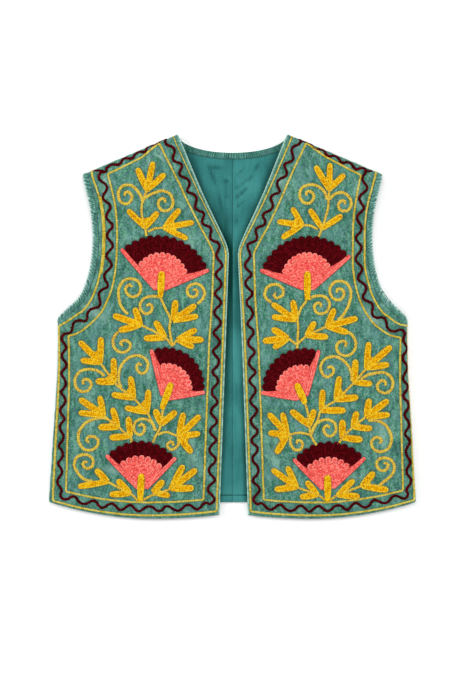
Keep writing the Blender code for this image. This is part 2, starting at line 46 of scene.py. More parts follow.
LENGTH = 549.6
HEM_HALF = 262.3
SHOULDER_HALF = 213.5
NECK_HALF = 77.9
BACK_NECK_DROP = 26.0
SHOULDER_DROP = 57.6
V_DEPTH = 165.5
UNDERARM_BELOW_TOP = 264.0
HEM_RISE_AT_SIDE = 24.0
HEM_RISE_AT_FRONT = 7.7
HEM_LOWEST_X = 112.6
FRONT_WALL = 2.4
BACK_WALL = 2.0
LINING_WALL = 1.0
FACING_WALL = 1.6
SEAM_GAP = 0.3
FRONT_REST_GAP = 1.9
SIDE_ROLL_AT_HEM = 3.6
SIDE_ROLL_AT_UNDERARM = 5.6
SIDE_UNDER = 1.0
SHOULDER_ROLL = 6.4
SHOULDER_UNDER_AT_TIP = 1.0
SHOULDER_UNDER_AT_NECK = 10.0
SIDE_RISE_WIDTH = 60.0
SHOULDER_RISE_WIDTH = 110.0
RISE_FADE_LENGTH = 12.0
STRIP_WIDTH = 9.0
UNDERARM_DIP = 3.0
UNDERARM_RISE = 1.0
SHOULDER_TIP_STEPS = (-2.7, 0.0, 0.5)
BACK_TIP_STEP = 2.0
NECK_TURN_RUN = 6.0
NECK_TURN_OUT = 2.5
NECK_BOW = 1.6
SIDES = {
    "left": {"sign": -1, "at_break": 5.2, "at_waist": 9.0, "at_hem": 18.6, "back_shows": -1.5},
    "right": {"sign": 1, "at_break": 7.6, "at_waist": 12.7, "at_hem": 22.1, "back_shows": 1.8},
}
WAIST_Y = -5.0
BACK_TUCK = 1.5
BACK_HEM_DROP = 0.6
BACK_SHOWS_Y = 42.0
BACK_SHOWS_HALF = 34.0
SIDE_OUTLINE = ((262.3, -250.8), (255.5, -145.0), (250.2, -60.0), (249.3, 30.0))
ARMHOLE_OUTLINE = (
    (235.7, 26.4), (218.6, 43.6), (205.6, 77.9), (200.2, 122.0), (202.8, 163.6), (209.5, 195.0),
)

# ---- Grids of the fine meshes ----

SIDE_ROWS = 104
ARMHOLE_ROWS = 132
EDGE_ROWS = 48
ROLL_ROWS = 18
ROLL_COLUMNS = 16
ROLL_GRID_MARGIN = 2.0
PANEL_COLUMNS = 104
LINING_ROWS = 110
LINING_COLUMNS = 74
BACK_NECK_STEPS = 90
# Height near the underarm at which the front edge's rows below and above it meet
EDGE_SPLIT_Y = 12.0
STRIP_ROWS = 330
FACING_HALF_ROWS = 150
NECK_CURVE_POINTS = 97
STRIP_SHARES = (0, 0.04, 0.1, 0.2, 0.35, 0.5, 0.65, 0.8, 0.9, 0.96, 1.0)
# Distances from a turned edge at which a sheet has a row, the width over which it thins, and the share of
# its thickness that is left right at the edge
EDGE_STEPS = (0.3, 0.75, 1.3)
EDGE_ROUND = 1.3
EDGE_SHARE = 0.25
# Steps of a smooth curve from one of its points to the next
CURVE_STEPS = 16
# Rows at the lining's hem and columns at its seam that are taken closer, and how many take their place
CLOSE_CELLS = 4
CLOSE_STEPS = 33
NOISE_SIZE = 512
# A distance that counts as no edge near
FAR = 99.0
# The back's soft edge, from its underside up: how far in each ring lies, and its share of the height
SLAB_RINGS = ((0.6, 0.0), (0.15, 0.16), (0.0, 0.5), (0.15, 0.84), (0.6, 1.0))
# Seeds of what is random, and of what differs from front to front
SEEDS = {
    "lines": 21, "waves": 22, "leaves": 23, "pistils": 24, "cup": 31, "crest": 41,
    "rim": 55, "facing": (81, 82), "lining": 91,
}
FRONT_SEEDS = {
    "left": {"stitches": 7, "pucker": 51, "binding": (71, 73)},
    "right": {"stitches": 11, "pucker": 61, "binding": (72, 73)},
}

# ---- Cloth ----

# The velvet puffs up between stitches, in full at these distances from a stitch and from an edge
PUFF = 0.55
PUFF_REACH = 5.0
PUFF_EDGE = 3.0
# Its puckers: their heights and cells, and the share of them that is left right beside a stitch. Then
# the reach of the painted shade beside a stitch
PUCKER = 0.34
PUCKER_CELL = (5.0, 9.0)
FINE_PUCKER = 0.12
FINE_PUCKER_CELL = (2.6, 3.4)
PUCKER_AT_STITCH = 0.35
STITCH_SHADE_REACH = 1.9
# The painted highlight along the front edge: its reach, its strength, and how much its jags change that,
# with their length and the cell over which they stray
RIM_REACH = 1.5
RIM_HIGHLIGHT = 0.64
RIM_JAG = 0.28
RIM_JAG_LENGTH = 3.4
RIM_JAG_CELL = (9.0, 14.0)
# Strength of the painted highlight on a crease's ridge and of the painted shade in its trough
PAINTED_CREASE_HIGHLIGHT = 0.28
PAINTED_CREASE_SHADE = 0.4
CREASE_SHARPNESS = 1.6
# Soft creases of each front: middle x and y, angle in degrees, length, half width and height
CREASES = {
    "left": (
        (106, 250, 33, 26, 2.2, 1.1), (104, 242, 36, 28, 2.4, 1.0), (112, 236, 60, 26, 3.0, -0.9),
        (118, 230, 80, 30, 3.0, 0.9), (182, 205, 80, 60, 7.0, 0.7), (70, 205, 62, 70, 7.0, -0.5),
        (60, 120, 84, 60, 6.0, 0.5), (196, 20, 35, 60, 7.0, 0.9), (215, 0, 60, 70, 7.0, -0.6),
        (205, -120, 86, 90, 7.0, 0.6), (120, -60, 88, 70, 6.0, 0.7), (96, -70, 85, 60, 5.0, -0.5),
        (60, -180, 80, 80, 7.0, 0.6), (170, -205, 12, 70, 6.0, 0.5), (40, 30, 88, 110, 6.0, -0.4),
    ),
    "right": (
        (104, 252, 35, 24, 3.0, 0.6), (112, 236, 30, 28, 3.2, -0.5), (180, 190, 96, 64, 7.0, 0.6),
        (72, 200, -62, 60, 7.0, 0.5), (200, 12, -38, 64, 8.0, 0.9), (222, -10, -62, 60, 6.0, -0.6),
        (214, -150, 92, 90, 7.0, 0.6), (104, -60, 95, 60, 6.0, 0.6), (140, -30, 84, 70, 6.0, -0.5),
        (60, -190, 98, 70, 7.0, 0.5), (168, -214, -12, 80, 6.0, 0.5), (52, 60, 92, 90, 6.0, -0.4),
    ),
}
# Soft upright folds of the lining: distance from the middle, half width and height
LINING_FOLDS = ((16.0, 10.0, 1.3), (44.0, 15.0, 1.04), (75.0, 13.0, 0.65))
# The folds fade out over this length at the hem and the neck, and creases and the puff over these two
LINING_FADE = 60.0
CREASE_FADE = (40.0, 10.0)
# Width of the lining's hem, how far it stands up, and the depth and half width of its stitched groove
LINING_HEM = 10.0
HEM_STEP = 0.3
HEM_GROOVE = 0.35
HEM_GROOVE_HALF = 0.9
# The lining puffs up a little above this height, in full after a run, and ripples all over
LINING_PUFF_Y = 120.0
LINING_PUFF_RUN = 30.0
LINING_PUFF = 0.7
LINING_RIPPLE = 0.12
LINING_RIPPLE_CELL = (9.0, 30.0)
# Band of the seam's cloth under the lining, and the painted highlight of the line pressed along it
LINING_SEAM_BAND = {
    "left": {"width": 12.5, "height": 0.3, "shade": 0.16, "pressed": 0.0},
    "right": {"width": 3.0, "height": 0.2, "shade": 0.0, "pressed": 0.16},
}
# Creases of the lining, in the same columns as a front's
LINING_CREASES = {
    "left": (
        (29, 216, 68, 50, 2.8, -1.0), (18, 180, 78, 50, 3.2, -0.9), (40, 212, 76, 60, 5.0, 0.5),
        (24, 228, 2, 30, 2.0, -0.8), (9, 208, 8, 12, 1.8, -0.8), (8, 185, 0, 12, 1.8, -0.8),
        (6, 170, -8, 10, 1.6, -0.7), (12, 216, 24, 26, 3.0, 0.6), (8, 60, 88, 160, 4.0, 0.5),
        (16, -60, 89, 200, 6.0, 0.4),
    ),
    "right": (
        (14, 192, 41, 34, 2.0, -1.2), (16, 206, 40, 30, 1.8, -0.7), (26, 213, 60, 18, 3.2, -0.8),
        (17, 213, 37, 20, 2.2, 0.9), (12, 222, 42, 24, 1.8, -0.7), (35, 229, 60, 22, 3.2, -0.9),
        (11, 175, 35, 24, 1.8, -0.9), (35, 205, 73, 56, 4.5, 0.7), (6, 200, 4, 10, 1.6, -0.6),
        (6, 185, 0, 10, 1.6, -0.6), (6, 150, 0, 10, 1.6, -0.7), (12, -20, 88, 190, 5.0, 0.4),
    ),
}
# Shades on the lining: in its creases, along the hem's groove, beside the seam at the hem and how much
# more towards the neck, from a height on and over a run, and close under the open front edge
LINING_CREASE_SHADE = 0.62
HEM_SHADE = 0.8
SEAM_SHADE = 0.05
SEAM_SHADE_MORE = 0.16
SEAM_SHADE_Y = -140.0
SEAM_SHADE_RUN = 200.0
UNDER_EDGE_SHADE = 0.2
UNDER_EDGE_REACH = 4.0
# Half width of a line in shade, and how far from the seam the pressed line's painted highlight lies
LINE_REACH = 0.8
PRESSED_X = 1.6
# Gathered strips: their length, the length of a gather, how far it strays, its slant across the strip, and
# how much of its height is the same everywhere or varies. A cell is the size over which noise changes.
STRIPS = {
    "binding": {
        "length": 265.0, "gather": 4.6, "stray": 2.6, "stray_cell": (9.0, 1.0), "stray_row": 7.0,
        "slant": 2.4, "same": 0.75, "varied": 0.5, "varied_cell": (5.0, 4.0), "wall": FRONT_WALL,
    },
    "facing": {
        "length": 178.0, "gather": 3.1, "stray": 1.6, "stray_cell": (8.0, 1.0), "stray_row": 0.0,
        "slant": 0.0, "same": 0.6, "varied": 0.4, "varied_cell": (5.0, 6.0), "wall": FACING_WALL,
    },
}
BINDING_JAG = 0.3
# How high a strip's dome stands over its edges, and how much its gathers add
BINDING_DOME = (0.55, 0.5)
FACING_DOME = (0.35, 0.4)
# Power that makes a dome blunter, and where across a strip its gathers turn to their slant, over a share
DOME_BLUNT = 0.6
SLANT_FROM = 0.3
SLANT_OVER = 0.3
# Painted light and shade on the armhole's strip: how light its gathers are, with painted shade in their
# troughs; the painted highlight along its outer edge, with its reach; the painted highlight on the gathers'
# tops; and the most highlight it gets
GATHER_LIGHT = 0.75
STRIP_EDGE_HIGHLIGHT = 0.45
STRIP_EDGE_REACH = 1.7
STRIP_TOP_HIGHLIGHT = 0.4
STRIP_MOST_HIGHLIGHT = 0.72
# The neck strip's ribs are strongest in the middle, this far to both sides, and weaker beyond
RIBS_REACH = 42.0
RIBS_BEYOND = 0.3
RIBS_MIDDLE = 0.9
# Shade on the lining beside the open front edge, at these heights: how dark, and how far it reaches
SHADE_KNOTS = (-275, -200, -140, -60, 20, 80, 120, 140, 152, 165, 180, 196, 210, 224, 270)
SHADE_DEPTH = {
    "left": (0.3, 0.35, 0.35, 0.5, 0.7, 0.95, 0.75, 0.72, 0.6, 0.5, 0.42, 0.55, 0.55, 0.5, 0.4),
    "right": (0.4, 0.5, 0.5, 0.4, 0.4, 0.5, 0.35, 0.4, 0.5, 0.5, 0.4, 0.5, 0.5, 0.5, 0.4),
}
SHADE_REACH = {
    "left": (4, 4, 7, 9, 12, 18, 16, 14, 18, 20, 18, 13, 11, 12, 7),
    "right": (4, 5, 6, 7, 12, 12, 10, 7, 8, 9, 8, 8, 9, 10, 6),
}

# ---- Embroidery, in millimetres ----

ROW_WIDTH = 2.35
LINK_STEP = 3.0
# How links differ from each other: widths and heights as shares, how far off the row they lie as a share
# of its width, the spread of their shades, and the share of them that is darker, and by how much
LINK_WIDTHS = (0.92, 1.08)
LINK_HEIGHTS = (0.88, 1.12)
LINK_SHIFT = 0.06
LINK_SHADES = 0.2
DARK_LINKS = 0.12
DARK_LINK = 0.5
NECK_LINE_WIDTHS = {"left": 1.8, "right": 2.6}
# How each row of stitches is made: the size of its links, how high it lies over the cloth, its shade from
# dark to light, how far its stitches stray, and its shares of the pale edge colour and of the dark outline
# of painted shade along its edges
STITCHES = {
    "neck_line": {"height": 0.8, "tone": 0.6, "outline": 0.7},
    "line": {"width": 3.4, "height": 1.0, "tone": 0.6, "outline": 0.7},
    "second_line": {"width": 3.4, "height": 1.0, "tone": 0.4},
    "wave": {"width": 4.7, "height": 1.0, "low": 0.05, "tone": 0.25, "step": 2.6},
    "wave_stub": {"width": 3.995, "height": 1.0, "low": 0.05, "tone": 0.25, "step": 2.6},
    "stem": {"width": 4.2, "height": 1.0, "low": 0.1, "tone": 0.65, "edge": 0.55, "outline": 0.7},
    "tendril": {"width": 5.2, "height": 1.0, "low": 0.05, "tone": 0.65, "edge": 0.6, "outline": 0.7},
    "web": {"width": 2.7025, "height": 1.05, "tone": 0.45},
    "cup_arc": {"width": 2.9375, "height": 0.9, "low": 0.6, "tone": 0.45, "step": 2.6, "loose": 0.5},
}
# How each lobe is made: half its width, the share of that at its root, how high it lies over the cloth, the
# height of its rows, and the shades of its outer row and of the inner ones
LOBES = {
    "leaf": {"height": 1.05, "tones": (0.85, 0.45), "edge": 0.2},
    "pistil": {"half_width": 5.0, "root": 0.62, "low": 1.35, "height": 1.0, "tones": (0.85, 0.75)},
    "scallop": {"root": 0.8, "low": 0.9, "height": 1.0, "tones": (0.85, 0.3)},
    "arm": {"half_width": 2.8, "root": 0.85, "low": 0.7, "height": 0.9, "tones": (0.6, 0.5)},
    "petal": {"low": 0.6, "height": 0.9, "tones": (0.55, 0.4)},
}
# A scallop's loop reaches from inside the cup to just past its edge, and is at most this wide
SCALLOP_DEPTHS = (-0.7, 7.5)
SCALLOP_MOST = 4.2
LEAF_HALF = 5.0
LEAF_LOW = 0.12
LEAF_OVERLAP = 0.1
# Widths of leaf lobes as shares, and the shares of those at their roots
LEAF_WIDTHS = (0.94, 1.08)
LEAF_ROOTS = (0.55, 0.72)
# The leaves' lobes get narrower between these heights on the garment, from one share to the other
LEAF_HEIGHTS = (20, 70)
LEAF_SHARES = (0.94, 0.86)
# A lobe is long at this many half widths, and then keeps this share of its width at its tip
LONG_LOBE = 2.5
LOBE_TIP = 0.78
# Share of a row that still finds room in a lobe, and the width of its links against the row's
ROW_ROOM = 0.3
ROW_FILL = 1.1
# Share of a lobe's length over which its pad gets wider
PAD_WIDENS = 0.6
# The fork between two lobes is filled to a share of the shorter one, less a notch in its middle, unless
# they stand further apart than this angle
WEB_SHARE = 0.68
WEB_NOTCH = 0.3
WEB_SPREAD = 1.5
# Pads under the rows: their height, how far they reach past the rows, where their foot is in the cloth,
# their painted shade on top and the dark outline of painted shade at their edges, and the points across one
# and round its tip
PAD_HEIGHT = 0.35
PAD_MARGIN = 0.9
PAD_FOOT = -0.1
PAD_TOP_SHADE = 0.6
PAD_EDGE_SHADE = 0.9
PAD_ACROSS = (-1.0, -0.75, 0.0, 0.75, 1.0)
PAD_TIP_ANGLES = (0.5, 0.9, 1.25, 1.5)
FLOWER_PAD = 0.6
# Flowers: half the width of an arm's pad and of its rows, and how far in from its arc the cup's pad ends
ARM_HALF = 3.8
ARM_STITCH_HALF = LOBES["arm"]["half_width"]
CUP_RIM = 3.4
CUP_PAD_SHARES = (0.0, 0.03, 0.2, 0.4, 0.6, 0.8, 0.97, 1.0)
CUP_TONE = 0.25
# The cup's arcs start this many rows in from its edge, and the last one lies this share of the way to the
# foot. On the way they get flatter, by this power, down to a least rise.
CUP_FIRST_ROW = 3
CUP_LAST_ARC = 0.985
CUP_FLATTER = 1.15
CUP_LEAST_RISE = 0.4
# How far an arm's rows reach past its tip, and the gap between the arms' rows and the petals
ARM_PAST_TIP = 0.6
PETAL_GAP = 0.3
# Width of the scallops' loops against the room for each
SCALLOP_FILL = 1.18
# The crest's pad: how deep it is cut in between petals, its steps for each, and its foot under the cup.
# Then where a petal's rows start and end, and their width against the room for it.
PETAL_DEPTH = 3.0
PETAL_STEPS = 6
CREST_FOOT = 4.2
PETAL_TIP_DEPTH = -0.4
PETAL_BASE_DEPTH = 1.5
PETAL_FILL = 1.02
CREST_TONE = 0.3
# Last turns of a tendril round its centre, in degrees, and the shares of its radius there
TENDRIL_TURNS = (30, 60, 120, 190, 250)
TENDRIL_SHARES = (0.78, 0.6, 0.45, 0.32, 0.12)
# One link of chain stitch at five places along it: the place, the share of its width, the height of its
# two strands and of the hollow between them, and how much painted shade its ends take. And its five points
# across.
LINK_PLACES = np.array([0.0, 0.26, 0.56, 0.84, 1.0])
LINK_SPREAD = np.array([0.34, 0.78, 1.0, 0.86, 0.34])
LINK_STRAND = np.array([0.35, 0.85, 1.0, 0.92, 0.5])
LINK_HOLLOW = np.array([0.30, 0.42, 0.45, 0.42, 0.4])
LINK_ENDS = np.array([0.9, 0.1, 0.0, 0.1, 0.5])
LINK_ACROSS = np.array([-1.0, -0.56, 0.0, 0.56, 1.0])
LINK_FOOT = np.full(5, -0.12)
LINK_LIFTS = np.stack([LINK_FOOT, LINK_STRAND, LINK_HOLLOW, LINK_STRAND, LINK_FOOT], axis=1)
LINK_OVERLAP = 0.25

# Raised flowers, as (x, y): the two ends of the foot, the tips of the two arms, and where the arms leave
# the cup. A rise is how far the crest's or the cup's arc stands over the line between its ends.
FLOWERS = {
    "upper_left": {
        "foot": ((-113.0, 52.5), (-93.5, 52.5)), "tips": ((-158.0, 111.0), (-34.5, 81.5)),
        "cup": ((-135.0, 88.0), (-64.5, 75.5)), "crest_rise": 31.5, "cup_rise": 23.5, "petals": 12,
    },
    "middle_left": {
        "foot": ((-103.0, -98.0), (-91.5, -106.0)), "tips": ((-115.0, -33.0), (-40.0, -93.0)),
        "cup": ((-103.0, -54.0), (-58.0, -91.5)), "crest_rise": 25.5, "cup_rise": 15.0, "petals": 10,
    },
    "lower_left": {
        "foot": ((-137.5, -232.5), (-120.5, -232.0)), "tips": ((-179.5, -183.5), (-82.0, -187.0)),
        "cup": ((-162.0, -196.5), (-99.5, -201.0)), "crest_rise": 20.5, "cup_rise": 14.0, "petals": 9,
    },
    "upper_right": {
        "foot": ((98.0, 52.5), (117.5, 53.0)), "tips": ((40.5, 81.5), (167.0, 101.5)),
        "cup": ((70.5, 76.0), (140.5, 85.5)), "crest_rise": 36.0, "cup_rise": 25.0, "petals": 13,
    },
    "middle_right": {
        "foot": ((90.5, -106.0), (108.5, -98.5)), "tips": ((41.5, -93.5), (122.5, -34.0)),
        "cup": ((62.0, -91.5), (110.0, -56.5)), "crest_rise": 25.0, "cup_rise": 15.0, "petals": 10,
    },
    "lower_right": {
        "foot": ((126.0, -233.0), (147.0, -231.0)), "tips": ((88.0, -189.0), (188.5, -187.0)),
        "cup": ((105.5, -201.5), (168.5, -200.0)), "crest_rise": 22.5, "cup_rise": 14.0, "petals": 9,
    },
}
# Vines. A sprig is a leaf's base and the tips of its lobes, a stem its bends, a tendril its start, its
# bends and the centre that it winds round, and a pistil the base and tip of a flower's heart.
VINES = {
    ("left", "sprigs"): (
        ((122, 194), (136, 226), (113, 235), (96, 218)), ((125, 141), (150, 167), (106, 164)),
        ((98, 141), (75, 168), (55, 149), (64, 125)), ((85, 8), (81, 38), (52, 31), (49, 15)),
        ((131, 2), (171, 16), (140, 27), (163, -6)), ((96, -16), (111, 8), (127, -17)),
        ((79, -19), (51, -4), (41, -19), (55, -30)), ((102, -140), (111, -118), (80, -121)),
        ((189, -52), (219, -21), (188, -15), (217, -48)), ((169, -80), (170, -45), (196, -78)),
        ((141, -103), (146, -71), (173, -97)), ((122, -123), (120, -90), (154, -116)),
        ((184, -127), (219, -103), (190, -99), (220, -123)), ((163, -144), (172, -116), (192, -144)),
        ((146, -157), (149, -129), (176, -159)),
        ((77, -157), (70, -123), (46, -127), (46, -153), (58, -181)),
        ((178, -222), (196, -204), (221, -229)), ((146, -239), (165, -219), (176, -240)),
        ((114, -237), (98, -220), (89, -242)), ((88, -232), (70, -198), (51, -204), (55, -231)),
    ),
    ("left", "stems"): (
        ((122, 194), (129, 176), (129, 156), (125, 142), (123, 129)), ((121, 135), (111, 140), (98, 141)),
        ((104, 44), (97, 28), (89, 11), (90, -2), (86, -28)), ((131, 2), (114, -6), (96, -16), (86, -28)),
        ((79, -19), (86, -28)),
        ((100, -112), (100, -122), (101, -135), (104, -146), (109, -155), (114, -166)),
        ((189, -52), (179, -66), (169, -80), (155, -92), (141, -103), (132, -112), (122, -123),
         (118, -131), (109, -149)),
        ((184, -127), (174, -136), (163, -144), (155, -151), (146, -157), (144, -166)),
        ((107, -155), (96, -151), (77, -157)), ((178, -222), (162, -231), (146, -239), (133, -251)),
        ((88, -232), (104, -238), (114, -241), (133, -251)),
    ),
    ("left", "tendrils"): (
        ((129, 178), (136, 194), (148, 202), (163, 189), (153, 175), (144, 182), (151, 188)),
        ((129, 178), (111, 191), (96, 193), (85, 179), (95, 165), (106, 174), (99, 179)),
        ((149, 18), (163, 48), (149, 68), (131, 54), (142, 42), (146, 55)),
        ((104, 41), (118, 43), (132, 31), (122, 18), (120, 28)),
        ((51, 33), (40, 46), (53, 61), (65, 51), (56, 42), (54, 50)),
        ((163, -8), (171, -21), (157, -37), (146, -26), (156, -25)),
        ((183, -71), (194, -63), (206, -61), (225, -76), (215, -93), (202, -82), (211, -80)),
        ((159, -88), (159, -56), (141, -42), (121, -54), (129, -67), (132, -57)),
        ((111, -149), (127, -132), (141, -144), (133, -155), (131, -144)),
        ((178, -132), (200, -133), (217, -146), (220, -163), (206, -177), (192, -164), (204, -163)),
        ((79, -156), (77, -166), (82, -174), (88, -176), (93, -169), (87, -168)),
        ((200, -221), (222, -208), (226, -194), (211, -183), (199, -193), (208, -203), (210, -196)),
    ),
    ("left", "pistils"): (
        ((103, 42), (101, 79)), ((101, -118), (87, -80)), ((132, -249), (130, -210)),
    ),
    ("right", "sprigs"): (
        ((138, 195), (118, 229), (139, 233), (160, 217)), ((128, 140), (110, 168), (157, 159)),
        ((100, 145), (85, 170), (64, 150), (70, 126)), ((91, 9), (86, 38), (56, 33), (56, 14)),
        ((80, -17), (56, -3), (43, -21), (58, -31)), ((106, -13), (118, 7), (137, -15)),
        ((135, 0), (146, 26), (179, 12), (166, -9)), ((110, -142), (83, -120), (117, -118)),
        ((79, -155), (51, -124), (71, -123), (51, -152), (62, -182)),
        ((127, -120), (129, -90), (162, -120)), ((148, -105), (153, -71), (180, -101)),
        ((174, -80), (176, -47), (200, -82)), ((191, -60), (195, -22), (227, -28), (224, -54)),
        ((157, -159), (157, -133), (186, -162)), ((172, -144), (178, -121), (200, -146)),
        ((191, -129), (196, -103), (223, -105), (225, -126)),
        ((92, -230), (56, -204), (78, -200), (60, -233)), ((122, -241), (105, -221), (96, -244)),
        ((150, -241), (174, -219), (182, -243)), ((185, -228), (203, -208), (223, -234)),
    ),
    ("right", "stems"): (
        ((138, 195), (137, 179), (136, 168), (130, 146), (123, 128)), ((122, 139), (111, 144), (100, 145)),
        ((107, 38), (98, 26), (93, 11), (94, 0), (92, -34)), ((80, -17), (92, -26)),
        ((106, -13), (92, -26)), ((135, 0), (121, -6), (106, -13)),
        ((104, -110), (108, -125), (112, -155), (120, -170)), ((79, -155), (96, -152), (112, -155)),
        ((191, -60), (174, -80), (148, -105), (127, -120), (121, -136), (112, -155)),
        ((191, -129), (172, -144), (157, -159), (151, -169)),
        ((92, -230), (106, -235), (122, -241), (136, -251)),
        ((185, -228), (168, -234), (150, -241), (136, -251)),
    ),
    ("right", "tendrils"): (
        ((135, 181), (124, 199), (109, 202), (96, 190), (106, 176), (116, 184), (108, 189)),
        ((139, 181), (153, 191), (168, 182), (162, 165), (151, 173), (158, 176)),
        ((56, 35), (46, 46), (58, 60), (73, 49), (63, 46)),
        ((109, 38), (122, 44), (138, 35), (126, 18), (117, 28), (124, 30)),
        ((150, 9), (165, 28), (169, 43), (155, 65), (139, 52), (151, 38), (159, 44), (152, 50)),
        ((165, -8), (176, -22), (161, -42), (149, -28), (159, -26)),
        ((84, -157), (84, -170), (94, -177), (100, -168), (94, -166)),
        ((114, -151), (124, -136), (135, -133), (148, -144), (138, -157), (136, -146)),
        ((170, -78), (165, -56), (150, -44), (126, -58), (136, -72), (139, -61)),
        ((183, -76), (192, -70), (207, -66), (229, -80), (219, -95), (207, -86), (216, -82)),
        ((194, -135), (211, -136), (226, -153), (211, -179), (199, -164), (209, -164)),
        ((208, -228), (220, -219), (231, -204), (221, -188), (206, -196), (213, -206), (218, -198)),
    ),
    ("right", "pistils"): (
        ((107, 38), (107, 79)), ((104, -110), (91, -81)), ((136, -250), (136, -212)),
    ),
}
# Lines of the border, inwards from the cloth's edge. Front insets go with FRONT_KNOTS, armhole ones with
# ARMHOLE_KNOTS, hem ones from front to side, side ones from hem to underarm, and the shoulder's, past the
# start of the roll, with SHOULDER_KNOTS. Past the underarm's x the line rises, over a reach, by a lift.
HEM_INSETS = {"outer": (6.0, 4.6, 3.6), "wave": (15.4, 14.0, 13.6), "inner": (24.6, 23.0, 21.4)}
FRONT_KNOTS = (-20, 38, 106, 141, 205, 238, 262)
ARMHOLE_KNOTS = (6, 23, 32, 58, 84, 118, 161, 186, 212)
SHOULDER_KNOTS = (0.0, 0.2, 0.42, 0.73, 1.0)
BORDERS = {
    ("left", "outer"): {
        "front": (4.3, 4.2, 4.2, 4.4, 5.5, 6.8, 7.8), "side": (5.6, 1.6),
        "armhole": (14.3, 17.4, 16.8, 16.5, 16.0, 15.2, 16.0, 16.4, 14.2),
        "shoulder": (16.0, 16.0, 15.5, 15.5, 15.5), "underarm": (221, 28, 3.5),
    },
    ("left", "wave"): {
        "front": (13.2, 13.2, 13.5, 14.8, 15.2, 16.5, 17.5), "side": (14.0, 8.4),
        "armhole": (26.3, 28.0, 27.5, 27.3, 26.4, 25.0, 25.6, 25.5, 27.0),
        "shoulder": (11.0, 8.4, 3.0, 1.6, 0.8), "underarm": (214, 26, 3.0),
    },
    ("left", "inner"): {
        "front": (23.6, 21.6, 21.6, 23.6, 25.4, 28.1, 30.0),
        "side": (24.0, 14.6), "armhole": (38.4, 38.7, 38.2, 38.2, 36.6, 35.0, 36.0, 36.2, 36.2),
        "shoulder": (9.0, 5.4, -3.8, -6.0, -6.6), "underarm": (208, 25, 9.0),
    },
    ("right", "outer"): {
        "front": (4.3, 3.6, 3.2, 5.0, 6.4, 7.6, 8.2), "side": (2.0, -2.3),
        "armhole": (16.8, 18.8, 17.0, 15.2, 14.3, 11.2, 11.6, 11.3, 10.5),
        "shoulder": (16.0, 16.0, 15.5, 15.5, 15.5), "underarm": (228, 20, 7.0),
    },
    ("right", "wave"): {
        "front": (13.2, 13.3, 13.7, 16.4, 16.9, 17.5, 18.5), "side": (9.4, 1.8),
        "armhole": (28.0, 27.5, 26.3, 24.4, 22.9, 19.6, 20.2, 20.6, 23.6),
        "shoulder": (11.0, 8.4, 3.0, 1.6, 0.8), "underarm": (214, 28, 6.5),
    },
    ("right", "inner"): {
        "front": (23.4, 21.6, 23.0, 26.2, 27.0, 28.5, 30.5), "side": (18.2, 8.6),
        "armhole": (39.3, 36.3, 35.6, 33.7, 31.5, 28.0, 28.6, 29.2, 30.8),
        "shoulder": (9.0, 6.0, -1.4, -5.2, -7.4), "underarm": (203, 34, 10.0),
    },
}
# Loose end of the wave at the shoulder end of the armhole
WAVE_STUBS = {"left": ((183, 221.5), (198, 222)), "right": ((187, 220), (200, 222))}
# Heights between which the left front's outer line along the armhole has a second row, and that
# stretch's place after the one along the front edge
DOUBLE_ROW = (76, 185)
DOUBLE_ROW_INSET = 1.87
ARMHOLE_STRETCH = 2
# Length and reach of the waves along each stretch
WAVES = {
    "neck": (25.0, 4.0), "front": (28.0, 4.5), "hem": (27.5, 3.9),
    "side": (26.3, 3.1), "armhole": (29.0, 4.2), "shoulder": (21.5, 2.4),
}
# Reach over which the wave's line rounds its corners, and the step at which it is worked out
WAVE_CORNER = 5.0
WAVE_PACE = 0.7
# How far a wave's crossings stray, as a share of its length, the shares of its reach, and the power of
# the sine that makes its turns blunter
WAVE_STRAY = 0.07
WAVE_REACHES = (0.86, 1.1)
WAVE_BLUNT = 0.9
# The border's stretches are made too long, so that each crosses the next: along the front edge past the
# start of the shoulder's roll, up the side past the underarm, and along the shoulder past both its ends
LINE_PAST_SHOULDER = 12.0
SIDE_PAST_UNDERARM = 25.0
SHOULDER_PAST_TIP = 4.0
SHOULDER_PAST_NECK = 30.0
STRETCH_POINTS = {"hem": 160, "side": 120, "shoulder": 90}
# Power by which a line's lift at the underarm starts softly
LIFT_SOFTNESS = 1.5

# ---- Places worked out from the sizes above ----

TOP_Y = LENGTH / 2
LOW_Y = -LENGTH / 2
UNDERARM_Y = TOP_Y - UNDERARM_BELOW_TOP
V_BREAK_Y = TOP_Y - V_DEPTH
SIDE_HEM_Y = LOW_Y + HEM_RISE_AT_SIDE
BACK_HEM_Y = SIDE_HEM_Y - BACK_HEM_DROP
BACK_NECK_Y = TOP_Y - BACK_NECK_DROP
LINING_BOTTOM_Z = BACK_WALL + SEAM_GAP
FRONT_LOW_Z = LINING_BOTTOM_Z + LINING_WALL + FRONT_REST_GAP + FRONT_WALL / 2
FACING_BOTTOM_Z = FRONT_WALL + SEAM_GAP
SHOULDER_START = SHOULDER_ROLL + FRONT_WALL / 2
SHOULDER_OVER = math.pi * SHOULDER_ROLL - SHOULDER_START
NECK_POINT = np.array([NECK_HALF, TOP_Y])
SHOULDER_LENGTH = math.hypot(SHOULDER_HALF - NECK_HALF, SHOULDER_DROP)
SHOULDER_ALONG = np.array([SHOULDER_HALF - NECK_HALF, -SHOULDER_DROP]) / SHOULDER_LENGTH
SHOULDER_OUT = np.array([-SHOULDER_ALONG[1], SHOULDER_ALONG[0]])
ROLL_END_Y = UNDERARM_Y + RISE_FADE_LENGTH


# ---- Curves in the plane ----


def smoothstep(t):
    t = np.clip(t, 0.0, 1.0)
    return t * t * (3 - 2 * t)


def near(distance, reach):
    """1 where the distance is nothing, fading out round the reach."""
    return np.exp(-((distance / reach) ** 2))


def unit(vectors):
    """The vectors at length 1."""
    return vectors / np.maximum(np.linalg.norm(vectors, axis=-1, keepdims=True), 1e-6)


def quarter_turn(vectors):
    """The vectors turned a quarter to the left."""
    return np.stack([-vectors[..., 1], vectors[..., 0]], axis=-1)


